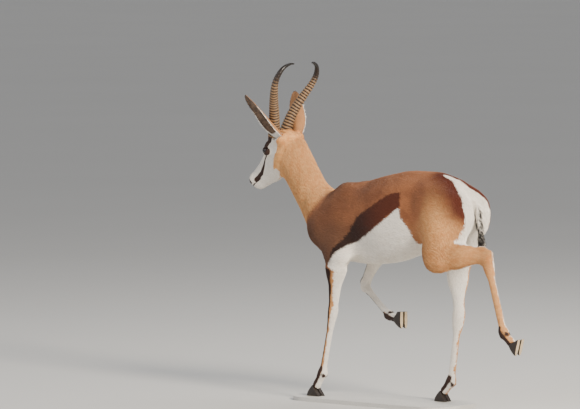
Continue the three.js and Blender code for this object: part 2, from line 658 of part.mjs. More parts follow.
function addHorn(side, word) {
  const { base, path } = hornCurve(side);
  const cut = { point: base, normal: unit(mix(headFrame.z, unit(sub(path[2], base)), 0.35)) };
  const steps = HORN.rings * 2 + 9;
  const radius = (t) => HORN.tip + (HORN.base - HORN.tip) * (1 - t) ** 0.72;
  const horn = tubeOf(path, steps, 10, (t, i) => {
    const ringed = t < HORN.ringed && i % 2 === 1;
    const r = radius(t) * (ringed ? 1 + HORN.ridge * (1 - 0.55 * smooth(0.4, HORN.ringed, t)) : 1);
    return [r * 1.08, r * 0.94];
  });
  keep("horn_" + word, horn.intersect(beyond(cut.point, cut.normal, GAP / 2)), COLOURS.horn);
  const near = path.slice(0, 3);
  const room = tubeOf(near, 4, 12, () => [HORN.base + 5, HORN.base + 5]);
  const stump = tubeOf(near, 4, 12, () => [HORN.base * 1.12, HORN.base * 1.02]);
  head = head.subtract(room.intersect(beyond(cut.point, cut.normal, -GAP / 2)))
    .add(stump.subtract(beyond(cut.point, cut.normal, -GAP / 2)));
}

// Ears: a leaf folded round its length into a cup that opens outward and forward, on a short stub.
function addEar(side, word) {
  const root = headPoint(EAR.at, -side * EAR.out, EAR.up);
  const lean = unit([EAR.lean[0], side * EAR.lean[1], EAR.lean[2]]);
  const open = unit(cross(cross(lean, [EAR.face[0], side * EAR.face[1], EAR.face[2]]), lean));
  const across = cross(lean, open);
  const cutAt = add(root, lean, EAR.stub);
  const steps = 11, sides = 6;
  const rings = [];
  for (let i = 0; i <= steps; i++) {
    const t = i / steps;
    const past = Math.max(0, t - 0.38) / 0.625; // how far into the pointed end
    const wide = (EAR.width / 2) * smooth(-0.35, 0.4, t) * Math.sqrt(Math.max(0.004, 1 - past ** 2));
    const curl = 1.5 - 0.75 * smooth(0, 0.8, t); // half the angle that the rim is folded through
    const round = wide / Math.sin(Math.min(curl, 1.57));
    const middle = add(root, lean, EAR.stub * 0.2 + EAR.length * t);
    const thick = i === 0 ? 6 : EAR.wall * (1.3 - 0.8 * t);
    const floor = round - EAR.cup * (1 - t);
    const place = (f, r) =>
      add(add(middle, across, r * Math.sin(f * curl)), open, floor - r * Math.cos(f * curl));
    const outer = [], inner = [];
    for (let s = 0; s <= sides; s++) {
      const f = (s / sides) * 2 - 1;
      outer.push(place(f, round));
      inner.push(place(f * 0.97, round - thick));
    }
    rings.push([...outer, ...inner.reverse()]);
  }
  keep("ear_" + word, skinOf(rings).intersect(beyond(cutAt, lean, GAP / 2)), COLOURS.coat);
  const middle = add(root, open, -EAR.cup * 0.5);
  const stubPath = [add(middle, lean, -26), add(middle, lean, EAR.stub + 4)];
  const stub = tubeOf(stubPath, 2, 12, () => [20, 15], across);
  const room = tubeOf([cutAt, add(cutAt, lean, 60)], 1, 12, () => [36, 36], [1, 0, 0]);
  const outside = beyond(cutAt, lean, -GAP / 2);
  head = head.subtract(room.intersect(outside)).add(stub.subtract(outside));
}

// One eyelid: a curved sheet over the eyeball, from its edge back into the orbit. Both lids meet in the
// corners of the eye.
function lidOf(side, edge) {
  const middle = headPoint(EYE.at, -side * EYE.out, EYE.up);
  const out = unit(add(add(scale(headFrame.y, -side), headFrame.x, 0.12), headFrame.z, 0.16));
  const ahead = unit(add(headFrame.x, out, -dot(headFrame.x, out)));
  const up = scale(cross(out, ahead), side);
  const radians = THREE.MathUtils.degToRad;
  const steps = 7, across = 2;
  const rings = [];
  for (let i = 0; i <= steps; i++) {
    const turn = radians(LIDS.corner) * ((2 * i) / steps - 1);
    const low = radians(edge) * Math.sin((Math.PI * i) / steps) ** 0.7;
    const high = radians(LIDS.root) * Math.sign(edge);
    const place = (radius, rise) => add(add(add(middle, ahead, radius * Math.sin(turn)), out,
      radius * Math.cos(turn) * Math.cos(rise)), up, radius * Math.cos(turn) * Math.sin(rise));
    const wall = (radius) =>
      Array.from({ length: across + 1 }, (_, k) => place(radius, low + ((high - low) * k) / across));
    rings.push([...wall(EYE.radius - 1), ...wall(EYE.radius + LIDS.thick).reverse()]);
  }
  return skinOf(rings);
}

// The line of the mouth is a groove round the muzzle, with a lip above and below it.
function addMouth() {
  const line = [];
  const steps = 12;
  for (let i = 0; i <= steps; i++) {
    const turn = THREE.MathUtils.degToRad(MOUTH.turn) * ((2 * i) / steps - 1);
    const way = add(scale(headFrame.x, Math.cos(turn)), headFrame.y, Math.sin(turn));
    const from = headPoint(MOUTH.at, 0, MOUTH.up);
    const rising = (d) => MOUTH.slope * d * Math.cos(turn);
    let low = 0, high = 70;
    for (let halving = 0; halving < 16; halving++) {
      const half = (low + high) / 2;
      if (headField(add(add(from, way, half), headFrame.z, rising(half))) < 0) low = half;
      else high = half;
    }
    line.push({ at: add(add(from, way, low), headFrame.z, rising(low)), way });
  }
  const groove = line.map(({ at, way }) =>
    [[-1, -1], [1, -1], [1, 1], [-1, 1]].map(([a, b]) =>
      add(add(at, way, a * MOUTH.deep), headFrame.z, b * MOUTH.open)));
  const lips = [-1, 1].map((b) => {
    const rise = b * (MOUTH.open + MOUTH.lip);
    const path = line.map(({ at, way }) => add(add(at, way, -MOUTH.lip * 0.45), headFrame.z, rise));
    return tubeOf(path, steps - 2, 5, (t) => {
      const r = MOUTH.lip * (0.45 + 0.55 * Math.sin(Math.PI * t) ** 0.5);
      return [r, r];
    }, headFrame.z);
  });
  head = lips.reduce((a, b) => a.add(b), head).subtract(skinOf(groove));
}

function nostrilOf(side) {
  const place = ([at, out, up]) => headPoint(at, -side * out, up);
  const path = [place(NOSTRIL.from), place(NOSTRIL.to)];
  return tubeOf(path, 3, 8, (t) => [NOSTRIL.high * (1 - 0.5 * t), NOSTRIL.wide * (1 - 0.6 * t)], headFrame.z);
}

for (const [side, word] of [[LEFT, "left"], [RIGHT, "right"]]) {
  addHorn(side, word);
  addEar(side, word);
  head = head.add(lidOf(side, LIDS.upper)).add(lidOf(side, LIDS.lower)).subtract(nostrilOf(side));
  const eyeAt = headPoint(EYE.at, -side * EYE.out, EYE.up);
  const ballOf = (radius) =>
    solidOf(new THREE.SphereGeometry(radius, 14, 8).rotateX(Math.PI / 2).translate(...eyeAt));
  head = head.subtract(ballOf(EYE.radius + GAP));
  keep("eye_" + word, ballOf(EYE.radius), COLOURS.eye);
}
addMouth();
keep("head", head.intersect(beyond(headCut.point, headCut.normal, GAP / 2)), COLOURS.coat);

// Tail: hangs down the cleft of the rump, on a stub that the torso carries.
const tailPath = [TAIL.root, mix(TAIL.root, TAIL.tip, 0.3), mix(TAIL.root, TAIL.tip, 0.7), TAIL.tip];
tailPath[1] = add(tailPath[1], [14, 0, 6]);
tailPath[2] = add(tailPath[2], [6, 0, 0]);
const tailWay = unit(sub(tailPath[1], tailPath[0]));
const tailCut = add(TAIL.root, tailWay, TAIL.stub);
const tailRadius = (t) => TAIL.radius * (1 - 0.8 * t * t);
const tailTube = (grow) =>
  tubeOf(tailPath, 9, 10, (t) => [tailRadius(t) + grow, tailRadius(t) * 0.75 + grow]);
torso = torso.subtract(tailTube(GAP + 0.4).intersect(beyond(tailCut, tailWay, -GAP / 2)))
  .add(tailTube(0).subtract(beyond(tailCut, tailWay, -GAP / 2)));
keep("torso", torso, COLOURS.coat);
let tail = tailTube(0).intersect(beyond(tailCut, tailWay, GAP / 2));
for (let i = 0; i < TAIL.locks; i++) tail = tail.add(tailLock(i));
keep("tail", tail, COLOURS.pale);

// One flat tapered lock of the tuft. Its root is sunk in the tail and its tip stands a little off it.
function tailLock(i) {
  const turn = (i * 2.4) % (2 * Math.PI);
  const level = i / (TAIL.locks - 1);
  const root = mix(tailPath[2], TAIL.tip, 0.15 + 0.8 * level);
  const out = [Math.cos(turn), Math.sin(turn) * 0.6, 0];
  const reach = TAIL.lock * (1 - 0.25 * level);
  const bend = add(add(root, out, 5), [1, 0, -reach * 0.45]);
  const path = [root, bend, add(add(root, out, 4.5 - 3 * level), [4, 0, -reach])];
  return tubeOf(path, 4, 5, (t) => [1.8 * (1 - 0.55 * t), 5.2 * (1 - 0.86 * t * t)], out);
}

// Display base: a flat plate with round corners
function baseSolid() {
  const { length: long, width: wide, corner: r } = BASE;
  const plate = new THREE.Shape();
  for (const [sx, sy, start] of [[1, -1, -0.5], [1, 1, 0], [-1, 1, 0.5], [-1, -1, 1]])
    plate.absarc(sx * (long / 2 - r), sy * (wide / 2 - r), r, start * Math.PI, (start + 0.5) * Math.PI);
  return new THREE.ExtrudeGeometry(plate, { depth: BASE.thickness, bevelEnabled: false, curveSegments: 6 })
    .translate(BASE.x, BASE.y, -BASE.thickness - GAP);
}
keep("stand_base", solidOf(baseSolid()), COLOURS.base);

// The group: every solid as a named mesh, shifted so that the box's underside is centred on the origin.
const group = new THREE.Group();
const box = new THREE.Box3();
for (const [name, [solid, [colour, roughness]]] of pieces) {
  const m = solid.getMesh();
  const geometry = new THREE.BufferGeometry();
  const positions = new Float32Array(m.numVert * 3);
  for (let i = 0; i < m.numVert; i++) {
    const start = i * m.numProp;
    positions.set(m.vertProperties.subarray(start, start + 3), i * 3);
  }
  geometry.setAttribute("position", new THREE.BufferAttribute(positions, 3));
  geometry.setIndex(new THREE.BufferAttribute(m.triVerts, 1));
  geometry.computeVertexNormals();
  geometry.computeBoundingBox();
  box.union(geometry.boundingBox);
  const material = new THREE.MeshStandardMaterial({ color: colour, roughness, metalness: 0 });
  const mesh = new THREE.Mesh(geometry, material);
  mesh.name = name;
  group.add(mesh);
}
const centre = box.getCenter(new THREE.Vector3());
group.position.set(-centre.x, -centre.y, -box.min.z);

export default group;
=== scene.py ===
# %% [markdown]
# # A springbok ram, dressed in Blender
#
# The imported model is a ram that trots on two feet, on a flat display base. Its solids give the size and
# the pose. This lesson gives it a skin, a coat, horns, eyes, ears and hooves. Everything is in metres, and
# the animal heads along -X with its left side towards -Y.

import math

import bmesh
import bpy
import numpy as np
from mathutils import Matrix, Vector
from mathutils.bvhtree import BVHTree
from mathutils.kdtree import KDTree


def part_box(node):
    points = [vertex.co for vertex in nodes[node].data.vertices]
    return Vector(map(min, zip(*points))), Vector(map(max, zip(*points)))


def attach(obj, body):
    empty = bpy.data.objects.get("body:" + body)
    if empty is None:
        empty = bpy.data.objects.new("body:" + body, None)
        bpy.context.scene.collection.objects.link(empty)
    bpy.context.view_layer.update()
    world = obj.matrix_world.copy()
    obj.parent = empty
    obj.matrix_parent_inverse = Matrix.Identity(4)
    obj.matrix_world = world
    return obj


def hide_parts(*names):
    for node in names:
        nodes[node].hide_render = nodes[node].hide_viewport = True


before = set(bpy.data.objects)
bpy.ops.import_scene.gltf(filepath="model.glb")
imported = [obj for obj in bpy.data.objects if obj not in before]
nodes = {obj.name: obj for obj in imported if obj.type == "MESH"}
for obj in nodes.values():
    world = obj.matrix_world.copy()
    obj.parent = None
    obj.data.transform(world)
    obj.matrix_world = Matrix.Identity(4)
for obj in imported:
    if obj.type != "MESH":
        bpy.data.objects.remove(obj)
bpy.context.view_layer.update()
base_low, base_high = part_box("stand_base")
# The ground point between the feet, from which the body's landmarks are measured.
GROUND = Vector((base_low.x + 0.405, base_low.y + 0.140, base_high.z + 0.0003))

# %% [markdown]
# ## Camera
#
# The photograph was taken with a long lens from behind the animal's left side, a little above it. A camera
# can be matched by eye, but it is safer to work out: the picture is 580 pixels wide and 409 high, one
# metre at the animal is 285 pixels, and the view comes from 40 degrees towards the tail and 4 degrees up.

# %% Camera
PICTURE = (580, 409)
PIXELS_PER_METRE = 285.0
GROUND_PIXEL = (398.0, 400.0)  # where the ground point lies in the picture
AZIMUTH, ELEVATION, DISTANCE = math.radians(40), math.radians(4), 20.0
right = Vector((math.cos(AZIMUTH), math.sin(AZIMUTH), 0))
forward = Vector((
    -math.sin(AZIMUTH) * math.cos(ELEVATION), math.cos(AZIMUTH) * math.cos(ELEVATION), -math.sin(ELEVATION),
))
upward = right.cross(forward)
aim = GROUND.copy()
aim += right * (PICTURE[0] / 2 - GROUND_PIXEL[0]) / PIXELS_PER_METRE
aim += upward * (GROUND_PIXEL[1] - PICTURE[1] / 2) / PIXELS_PER_METRE
camera_data = bpy.data.cameras.new("camera")
camera_data.sensor_width = 36.0
camera_data.lens = 36.0 * DISTANCE / (PICTURE[0] / PIXELS_PER_METRE)
camera_data.clip_end = 400.0
camera = bpy.data.objects.new("camera", camera_data)
camera.location = aim - forward * DISTANCE
camera.rotation_euler = forward.to_track_quat("-Z", "Y").to_euler()
bpy.context.collection.objects.link(camera)
bpy.context.scene.camera = camera
print("lens", round(camera_data.lens, 1), "mm, camera height", round(camera.location.z, 2), "m")

# %% [markdown]
# ## Landmarks
#
# Markings and the lie of the coat follow the body, so they need to know where its parts are. Each bone of
# a leg is a line between two joints, and the head has a frame of its own that runs from the poll to the
# muzzle. They are given from the ground point, in metres.

# %% Landmarks of the body
JOINTS = {  # elbow or stifle, knee or hock, fetlock, top of the hoof
    "foreleg_left": [
        (-0.206, -0.086, 0.504), (-0.232, -0.078, 0.302), (-0.283, -0.072, 0.084), (-0.314, -0.072, 0.033),
    ],
    "foreleg_right": [
        (-0.130, 0.086, 0.555), (-0.216, 0.076, 0.388), (-0.046, 0.006, 0.296), (0.002, -0.008, 0.286),
    ],
    "hindleg_left": [
        (0.248, -0.092, 0.525), (0.452, -0.074, 0.524), (0.524, -0.072, 0.272), (0.562, -0.072, 0.236),
    ],
    "hindleg_right": [
        (0.192, 0.090, 0.525), (0.214, 0.072, 0.304), (0.184, 0.068, 0.072), (0.150, 0.068, 0.033),
    ],
}
POLL, MUZZLE = Vector((-0.480, 0.0, 0.910)), Vector((-0.685, 0.018, 0.726))
head_ahead = (MUZZLE - POLL).normalized()
head_side = Vector((-1, 0, 1)).cross(head_ahead).normalized()
head_up = head_ahead.cross(head_side)
EYE_AT, EYE_UP, EYE_OUT = 0.101, 0.020, 0.0405
MOUTH_AT, MOUTH_UP, MOUTH_SLOPE = 0.217, -0.019, 0.12  # the mouth's corner, and how its line rises ahead


def unit(rows):
    """Rows of vectors, each made one long."""
    return rows / np.maximum(np.linalg.norm(rows, axis=-1, keepdims=True), 1e-9)


def step(low, high, value):
    """0 below low, 1 above high, smooth between them."""
    t = np.clip((value - low) / (high - low), 0, 1)
    return t * t * (3 - 2 * t)


def in_head(points):
    """Ground-frame points in the head's frame: along the face, out to the animal's left, up."""
    rows = points - np.array(POLL)
    return rows @ np.array(head_ahead), rows @ np.array(head_side), rows @ np.array(head_up)


def head_point(along, out, up):
    """The place of a point that is given in the head's frame."""
    return GROUND + POLL + head_ahead * along + head_side * out + head_up * up


print("head frame", [tuple(round(v, 2) for v in axis) for axis in (head_ahead, head_side, head_up)])

# %% [markdown]
# ## The skin
#
# The solids are cut into nodes and have flat faces. A skin could be modelled by hand over them, but it would
# drift from them. Here copies of the solids are grown a little so that they touch, and a voxel remesh
# melts them into one shell. The body gets wide voxels and the head, with its lids and lips, gets fine ones.
# The two shells overlap in a short sleeve below the ears.

# %% Copies of solids melted into a shell
SHIN = ("_forearm", "_gaskin", "_cannon", "_pastern")
BODY = [n for n in nodes if n in ("torso", "neck", "head") or n.endswith(("_shoulder", "_thigh") + SHIN)]


def mesh_object(name, points, faces):
    """A new object with these points and faces."""
    data = bpy.data.meshes.new(name)
    data.from_pydata([tuple(p) for p in points], [], [tuple(f) for f in faces])
    data.update()
    made = bpy.data.objects.new(name, data)
    bpy.context.collection.objects.link(made)
    return made


def points_of(obj):
    flat = np.zeros(len(obj.data.vertices) * 3)
    obj.data.vertices.foreach_get("co", flat)
    return flat.reshape(-1, 3)


def normals_of(obj):
    flat = np.zeros(len(obj.data.vertices) * 3)
    obj.data.vertex_normals.foreach_get("vector", flat)
    return flat.reshape(-1, 3)


def corners_of(obj):
    """The number of the point at each corner of each face."""
    corners = np.zeros(len(obj.data.loops), np.int64)
    obj.data.loops.foreach_get("vertex_index", corners)
    return corners


def add_layer(obj, name, values, kind="FLOAT", domain="POINT"):
    """Stores a value for each point, corner or face of an object."""
    layer = obj.data.attributes.new(name, kind, domain)
    rows = np.asarray(values, np.float32).reshape(-1)
    layer.data.foreach_set("value" if kind == "FLOAT" else "vector", rows)


def face_outward(obj, merge=0.0):
    """Turns every face outward, after joining points that lie closer than merge."""
    shape = bmesh.new()
    shape.from_mesh(obj.data)
    if merge:
        bmesh.ops.remove_doubles(shape, verts=shape.verts, dist=merge)
    bmesh.ops.triangulate(shape, faces=[face for face in shape.faces if len(face.verts) > 4])
    bmesh.ops.recalc_face_normals(shape, faces=shape.faces)
    shape.to_mesh(obj.data)
    shape.free()


def finish_with(obj, material):
    """Gives an object smooth shading and one material."""
    obj.data.polygons.foreach_set("use_smooth", [True] * len(obj.data.polygons))
    obj.data.materials.append(material)


def merged(name, sources, swell):
    """One mesh with a copy of each source, each grown along its normals."""
    points, faces = [], []
    for source in sources:
        rows = np.array([v.co for v in nodes[source].data.vertices])
        corners = np.array([p.vertices for p in nodes[source].data.polygons])
        kept, place = np.unique(np.round(rows, 6), axis=0, return_inverse=True)
        corners = place.reshape(-1)[corners]
        first, second, third = kept[corners].transpose(1, 0, 2)
        across = np.cross(second - first, third - first)
        normals = np.zeros_like(kept)
        for corner in range(3):
            np.add.at(normals, corners[:, corner], across)
        faces.append(corners + sum(len(p) for p in points))
        points.append(kept + unit(normals) * swell)
    return mesh_object(name, np.vstack(points), np.vstack(faces))


def baked(obj):
    """The object with its modifiers applied, as a plain mesh."""
    bpy.context.view_layer.update()
    data = bpy.data.meshes.new_from_object(obj.evaluated_get(bpy.context.evaluated_depsgraph_get()))
    obj.modifiers.clear()
    obj.data = data
    return obj


def melted(name, sources, voxel, swell=0.0004):
    """Copies of the sources, remeshed into one shell."""
    shell = merged(name, sources, swell)
    remesh = shell.modifiers.new("melt", "REMESH")
    remesh.mode = "VOXEL"
    remesh.voxel_size = voxel
    return baked(shell)


body_shell = melted("body_shell", BODY, 0.0052)
head_shell = melted("head_shell", ["head", "neck"], 0.0021)
print("body", len(body_shell.data.vertices), "points, head", len(head_shell.data.vertices), "points")

# %% [markdown]
# ## Smoothing
#
# A remesh copies the flat faces as well as the form. Laplacian smoothing takes them out but shrinks thin
# legs, so each step in is followed by a slightly longer step out, which keeps the volume. The trunk takes
# many rounds, the legs and the head few, or their bones, heels, lids and lips would go.

# %% Smoothing that keeps the volume
solid_points, solid_faces, solid_names = [], [], []
for source in BODY:
    start = sum(len(p) for p in solid_points)
    solid_points.append(np.array([v.co for v in nodes[source].data.vertices]))
    solid_faces += [[start + i for i in p.vertices] for p in nodes[source].data.polygons]
    solid_names += [source] * len(nodes[source].data.polygons)
solid_tree = BVHTree.FromPolygons([Vector(p) for p in np.vstack(solid_points)], solid_faces)


def nearest_parts(points):
    """The name of the solid that each point lies on."""
    return np.array([solid_names[solid_tree.find_nearest(Vector(p))[2]] for p in points])


def smoothed(obj, rounds):
    """Moves each point through its own number of smoothing rounds."""
    edges = np.zeros(len(obj.data.edges) * 2, np.int64)
    obj.data.edges.foreach_get("vertices", edges)
    a, b = edges.reshape(-1, 2).T
    points = points_of(obj)
    count = np.maximum(np.bincount(a, minlength=len(points)) + np.bincount(b, minlength=len(points)), 1)
    for turn in range(int(rounds.max())):
        moving = (rounds > turn)[:, None]
        for share in (0.55, -0.57):
            near = np.stack([
                np.bincount(a, points[b, i], len(points)) + np.bincount(b, points[a, i], len(points))
                for i in range(3)
            ], axis=1)
            points = points + moving * share * (near / count[:, None] - points)
    obj.data.vertices.foreach_set("co", points.reshape(-1))
    obj.data.update()
    return points


TRUNK_ROUNDS, HOCK_ROUNDS, LEG_ROUNDS, HEAD_ROUNDS = 70, 24, 12, 9
HOCK_REACH = 0.070
body_parts = nearest_parts(points_of(body_shell))
is_leg = np.array([p.endswith(SHIN) for p in body_parts])
rounds = np.where(is_leg, LEG_ROUNDS, TRUNK_ROUNDS)
for leg in ("hindleg_left", "hindleg_right"):
    hock = np.array(GROUND) + np.array(JOINTS[leg][1])
    rounds[np.linalg.norm(points_of(body_shell) - hock, axis=1) < HOCK_REACH] = HOCK_ROUNDS
smoothed(body_shell, rounds)
smoothed(head_shell, np.full(len(head_shell.data.vertices), HEAD_ROUNDS))
print("smoothed", len(body_parts), "body points,", int(is_leg.sum()), "on the lower legs")

# %% [markdown]
# ## One skin
#
# Both shells are cut across the throat, each a little past the other, and the cut ends are bent under, so
# that the fine head slides over the coarser neck with no step. Then every point goes in by the depth of the
# coat there: a few millimetres on the trunk, almost nothing on the face and the lower legs, so that the
# tufts that stand on the skin end where the solids do.

# %% Cut, tuck and join the shells
THROAT = head_point(0.008, 0.0, -0.020)
THROAT_WAY = Vector((-0.86, 0.0, 0.5)).normalized()
SLEEVE = 0.012


def cut_shell(obj, way, tuck=0.0030):
    """Cuts the shell a sleeve's length past the throat, closes it and bends its end under."""
    shape = bmesh.new()
    shape.from_mesh(obj.data)
    everything = shape.verts[:] + shape.edges[:] + shape.faces[:]
    bmesh.ops.bisect_plane(
        shape, geom=everything, plane_co=THROAT + way * SLEEVE, plane_no=way, clear_outer=True)
    rim = [e for e in shape.edges if e.is_boundary]
    bmesh.ops.holes_fill(shape, edges=rim, sides=0)
    bmesh.ops.triangulate(shape, faces=[f for f in shape.faces if len(f.verts) > 4])
    bmesh.ops.delete(shape, geom=[v for v in shape.verts if not v.link_faces], context="VERTS")
    shape.normal_update()
    for point in shape.verts:
        along = (point.co - THROAT).dot(way)
        if along > -SLEEVE:
            inward = point.normal - way * point.normal.dot(way)
            point.co -= inward * tuck * min(1.0, (along + SLEEVE) / (2 * SLEEVE)) ** 2
    shape.to_mesh(obj.data)
    shape.free()


cut_shell(body_shell, THROAT_WAY)
cut_shell(head_shell, -THROAT_WAY)
head_from = len(body_shell.data.vertices)
both = bmesh.new()
both.from_mesh(body_shell.data)
both.from_mesh(head_shell.data)
skin = mesh_object("skin", [], [])
both.to_mesh(skin.data)
both.free()
for shell in (body_shell, head_shell):
    bpy.data.objects.remove(shell)
print("skin", len(skin.data.vertices), "points,", len(skin.data.polygons), "faces")

# %% [markdown]
# ## Room for the coat, nostrils and mouth
#
# The skin has to lie inside the solids by the depth of the hair that will stand on it. On the same pass the
# nostrils and the line of the mouth, which the smoothing has softened, are pressed in again. Booleans would
# cut them sharper, but pressing points in keeps one clean closed skin.

# %% Coat depth
points = points_of(skin) - np.array(GROUND)
normals = normals_of(skin)
parts = nearest_parts(points_of(skin))
side = np.sign(points[:, 1])
along, out, up = in_head(points)
on_head = (np.arange(len(points)) >= head_from) | (parts == "head")
lower_leg = np.array([p.endswith(("_cannon", "_pastern")) for p in parts])
mid_leg = np.array([p.endswith(("_forearm", "_gaskin")) for p in parts])
TRUNK_DEPTH, MID_LEG_DEPTH, LOWER_LEG_DEPTH, NAPE_DEPTH, FACE_DEPTH = 0.0042, 0.0024, 0.0011, 0.0022, 0.0008
depth = np.full(len(points), TRUNK_DEPTH)
depth[mid_leg] = MID_LEG_DEPTH
depth[lower_leg] = LOWER_LEG_DEPTH
depth[on_head] = NAPE_DEPTH - (NAPE_DEPTH - FACE_DEPTH) * step(0.02, 0.09, along[on_head])


def spread(values, rounds):
    """Values on the skin's points, evened out over their neighbours."""
    edges = np.zeros(len(skin.data.edges) * 2, np.int64)
    skin.data.edges.foreach_get("vertices", edges)
    a, b = edges.reshape(-1, 2).T
    count = np.maximum(np.bincount(a, minlength=len(points)) + np.bincount(b, minlength=len(points)), 1)
    rows = values.reshape(len(points), -1).astype(float)
    for _ in range(rounds):
        rows = np.stack([
            (np.bincount(a, rows[b, i], len(points)) + np.bincount(b, rows[a, i], len(points))) / count
            for i in range(rows.shape[1])
        ], axis=1)
    return rows.reshape(values.shape)


depth = spread(depth, 12)

# %% Nostrils and mouth
NOSTRIL = [(0.263, 0.021, 0.012), (0.252, 0.011, 0.007)]  # along, out and up in the head's frame
NOSTRIL_REACH, NOSTRIL_DEEP, LIP_REACH, LIP_DEEP = 0.0052, 0.0060, 0.0028, 0.0020
rows = np.stack([along, np.abs(out), up], axis=1)
start, end = np.array(NOSTRIL)
share = np.clip((rows - start) @ (end - start) / ((end - start) @ (end - start)), 0, 1)
hollow = 1 - np.linalg.norm(rows - start - share[:, None] * (end - start), axis=1) / NOSTRIL_REACH
depth += np.where(on_head, NOSTRIL_DEEP * step(0.0, 0.7, hollow), 0.0)
mouth_line = up - MOUTH_UP - MOUTH_SLOPE * (along - MOUTH_AT)
groove = LIP_DEEP * step(LIP_REACH, 0.0, np.abs(mouth_line))
depth += np.where(on_head & (along > MOUTH_AT - 0.004), groove, 0.0)
skin.data.vertices.foreach_set("co", (points_of(skin) - normals * depth[:, None]).reshape(-1))
skin.data.update()
points = points_of(skin) - np.array(GROUND)
print("coat depth", round(float(depth.min() * 1000), 2), "to", round(float(depth.max() * 1000), 2), "mm")

# %% [markdown]
# ## Markings
#
# A springbok's colours have clear edges: the dark band along the flank, the white belly, the white fan on the
# rump, the white face with a brown stripe from the eye to the lip. They could be painted, but a painting
# doesn't carry over to the tufts. Each marking is a drawn line in the side or back view, and what is
# stored on the skin is how far each point is inside it, in metres. The material turns that into colour and
# frays the edge, and the tufts inherit it from the skin under their roots.

# %% Lines that part the colours
# Seen from the side, as x and z from the ground point
BAND_TOP = [
    (-0.230, 0.470), (-0.205, 0.530), (-0.165, 0.575), (-0.099, 0.652), (-0.033, 0.690), (0.027, 0.728),
    (0.120, 0.752),
]
BAND_FOOT = [
    (-0.260, 0.440), (-0.192, 0.520), (-0.154, 0.548), (-0.115, 0.560), (-0.044, 0.600), (0.015, 0.640),
    (0.075, 0.683), (0.120, 0.715),
]
THIGH_FRONT = [(0.082, 0.700), (0.090, 0.655), (0.118, 0.610), (0.134, 0.560), (0.140, 0.510), (0.150, 0.460)]
# Seen from behind: a height, and half the width of the white there
RUMP_HALF = [
    (0.540, 0.030), (0.556, 0.086), (0.580, 0.098), (0.600, 0.088), (0.630, 0.075), (0.671, 0.071),
    (0.709, 0.068), (0.745, 0.048), (0.779, 0.020), (0.803, 0.006), (0.820, 0.004),
]
OUTSIDE = -0.05  # stored where a marking can't be


def across_line(line, u, v):
    """How far each point is to the left of a line of points, walking along it; beyond its ends it runs on."""
    best = np.full(len(u), 1e9)
    signed = np.zeros(len(u))
    for index, ((u0, v0), (u1, v1)) in enumerate(zip(line, line[1:])):
        du, dv = u1 - u0, v1 - v0
        size = math.hypot(du, dv)
        t = ((u - u0) * du + (v - v0) * dv) / size ** 2
        low = -9 if index == 0 else 0
        high = 9 if index == len(line) - 2 else 1
        t = np.clip(t, low, high)
        away = np.hypot(u - u0 - t * du, v - v0 - t * dv)
        cross = (du * (v - v0) - dv * (u - u0)) / size
        nearer = away < best
        best = np.where(nearer, away, best)
        signed = np.where(nearer, np.sign(cross) * away, signed)
    return signed


x, y, z = points.T
outward = normals[:, 1] * side
leg_of = np.array([p.rsplit("_", 1)[0] if p.startswith(("fore", "hind")) else "" for p in parts])
fore = np.char.startswith(leg_of, "fore")
hind = np.char.startswith(leg_of, "hind")
limb = lower_leg | mid_leg
trunk = ~limb & ~on_head

band = np.minimum(-across_line(BAND_TOP, x, z), across_line(BAND_FOOT, x, z))
band = np.minimum(band, 0.006 - across_line(THIGH_FRONT, x, z))
band[~trunk] = OUTSIDE
print("band", int((band > 0).sum()), "points")

# %% [markdown]
# ## White parts
#
# The white of the belly, the inner legs, the rump and the face is one marking, because it is one colour. It
# is the largest of several distances. Where a limb turns away from the side, the lean of the surface
# stands in for a distance, as the white creeps round to the inside of the legs.

# %% Belly and rump
belly = np.minimum(-across_line(BAND_FOOT, x, z), -across_line(THIGH_FRONT, x, z))
belly[~trunk] = OUTSIDE
groin = np.minimum(0.085 - np.abs(y) + 0.05 * step(0.0, -0.6, outward), 0.560 - z)
groin = np.where(trunk & (x > 0.06), groin + 0.03 * step(0.1, -0.5, outward), OUTSIDE)
inner_thigh = np.where(trunk & (x > 0.06) & (z < 0.62), (-outward - 0.15) * 0.05, OUTSIDE)
armpit = np.where(trunk & (x < -0.10) & (x > -0.30) & (z < 0.56), (-outward - 0.05) * 0.05, OUTSIDE)

rump_at = np.interp(z, [v for v, _ in RUMP_HALF], [half for _, half in RUMP_HALF])
rump = np.minimum(rump_at - np.abs(y + 0.010 * step(0.66, 0.74, z)), (x - 0.205) * 0.8)
rump = np.where(trunk, np.minimum(rump, (z - 0.520) * 0.7), OUTSIDE)
tail_root = np.where(trunk & (x > 0.25), 0.03 - np.hypot(y, (z - 0.70) * 0.3), OUTSIDE)
print("rump", int((rump > 0).sum()), "points")

# %% Front and back of each leg
on_pastern = np.char.endswith(parts, "_pastern")
shin_front = np.zeros(len(points))  # 1 at the front of the bone, -1 at its back
down_leg = np.ones(len(points))  # 0 at the elbow or stifle, 1 from the knee or hock down
for name, joints in JOINTS.items():
    mine = leg_of == name
    knee, fetlock = np.array(joints[1]), np.array(joints[2])
    for rows, (start, end) in (
        (mine & mid_leg, (joints[0], joints[1])), (mine & lower_leg, (knee, fetlock)),
        (mine & on_pastern, (fetlock, joints[3])),
    ):
        down = unit(np.array(end) - np.array(start))
        front = np.array([down[2], 0.0, -down[0]])
        shin_front[rows] = normals[rows] @ front
    start, length = np.array(joints[0]), np.linalg.norm(knee - np.array(joints[0]))
    rows = mine & mid_leg
    down_leg[rows] = np.clip((points[rows] - start) @ unit(knee - start) / length, 0, 1)
BONE_GIRTH = 0.012  # turns a lean of the surface round a bone into a distance
inner_leg = np.where(limb, (-outward + 0.15) * BONE_GIRTH, OUTSIDE)
inner_leg = np.where(limb & fore, np.maximum(inner_leg, (-shin_front - 0.25) * BONE_GIRTH), inner_leg)
shin_limit = np.minimum(inner_leg, (shin_front + 0.9) * BONE_GIRTH)
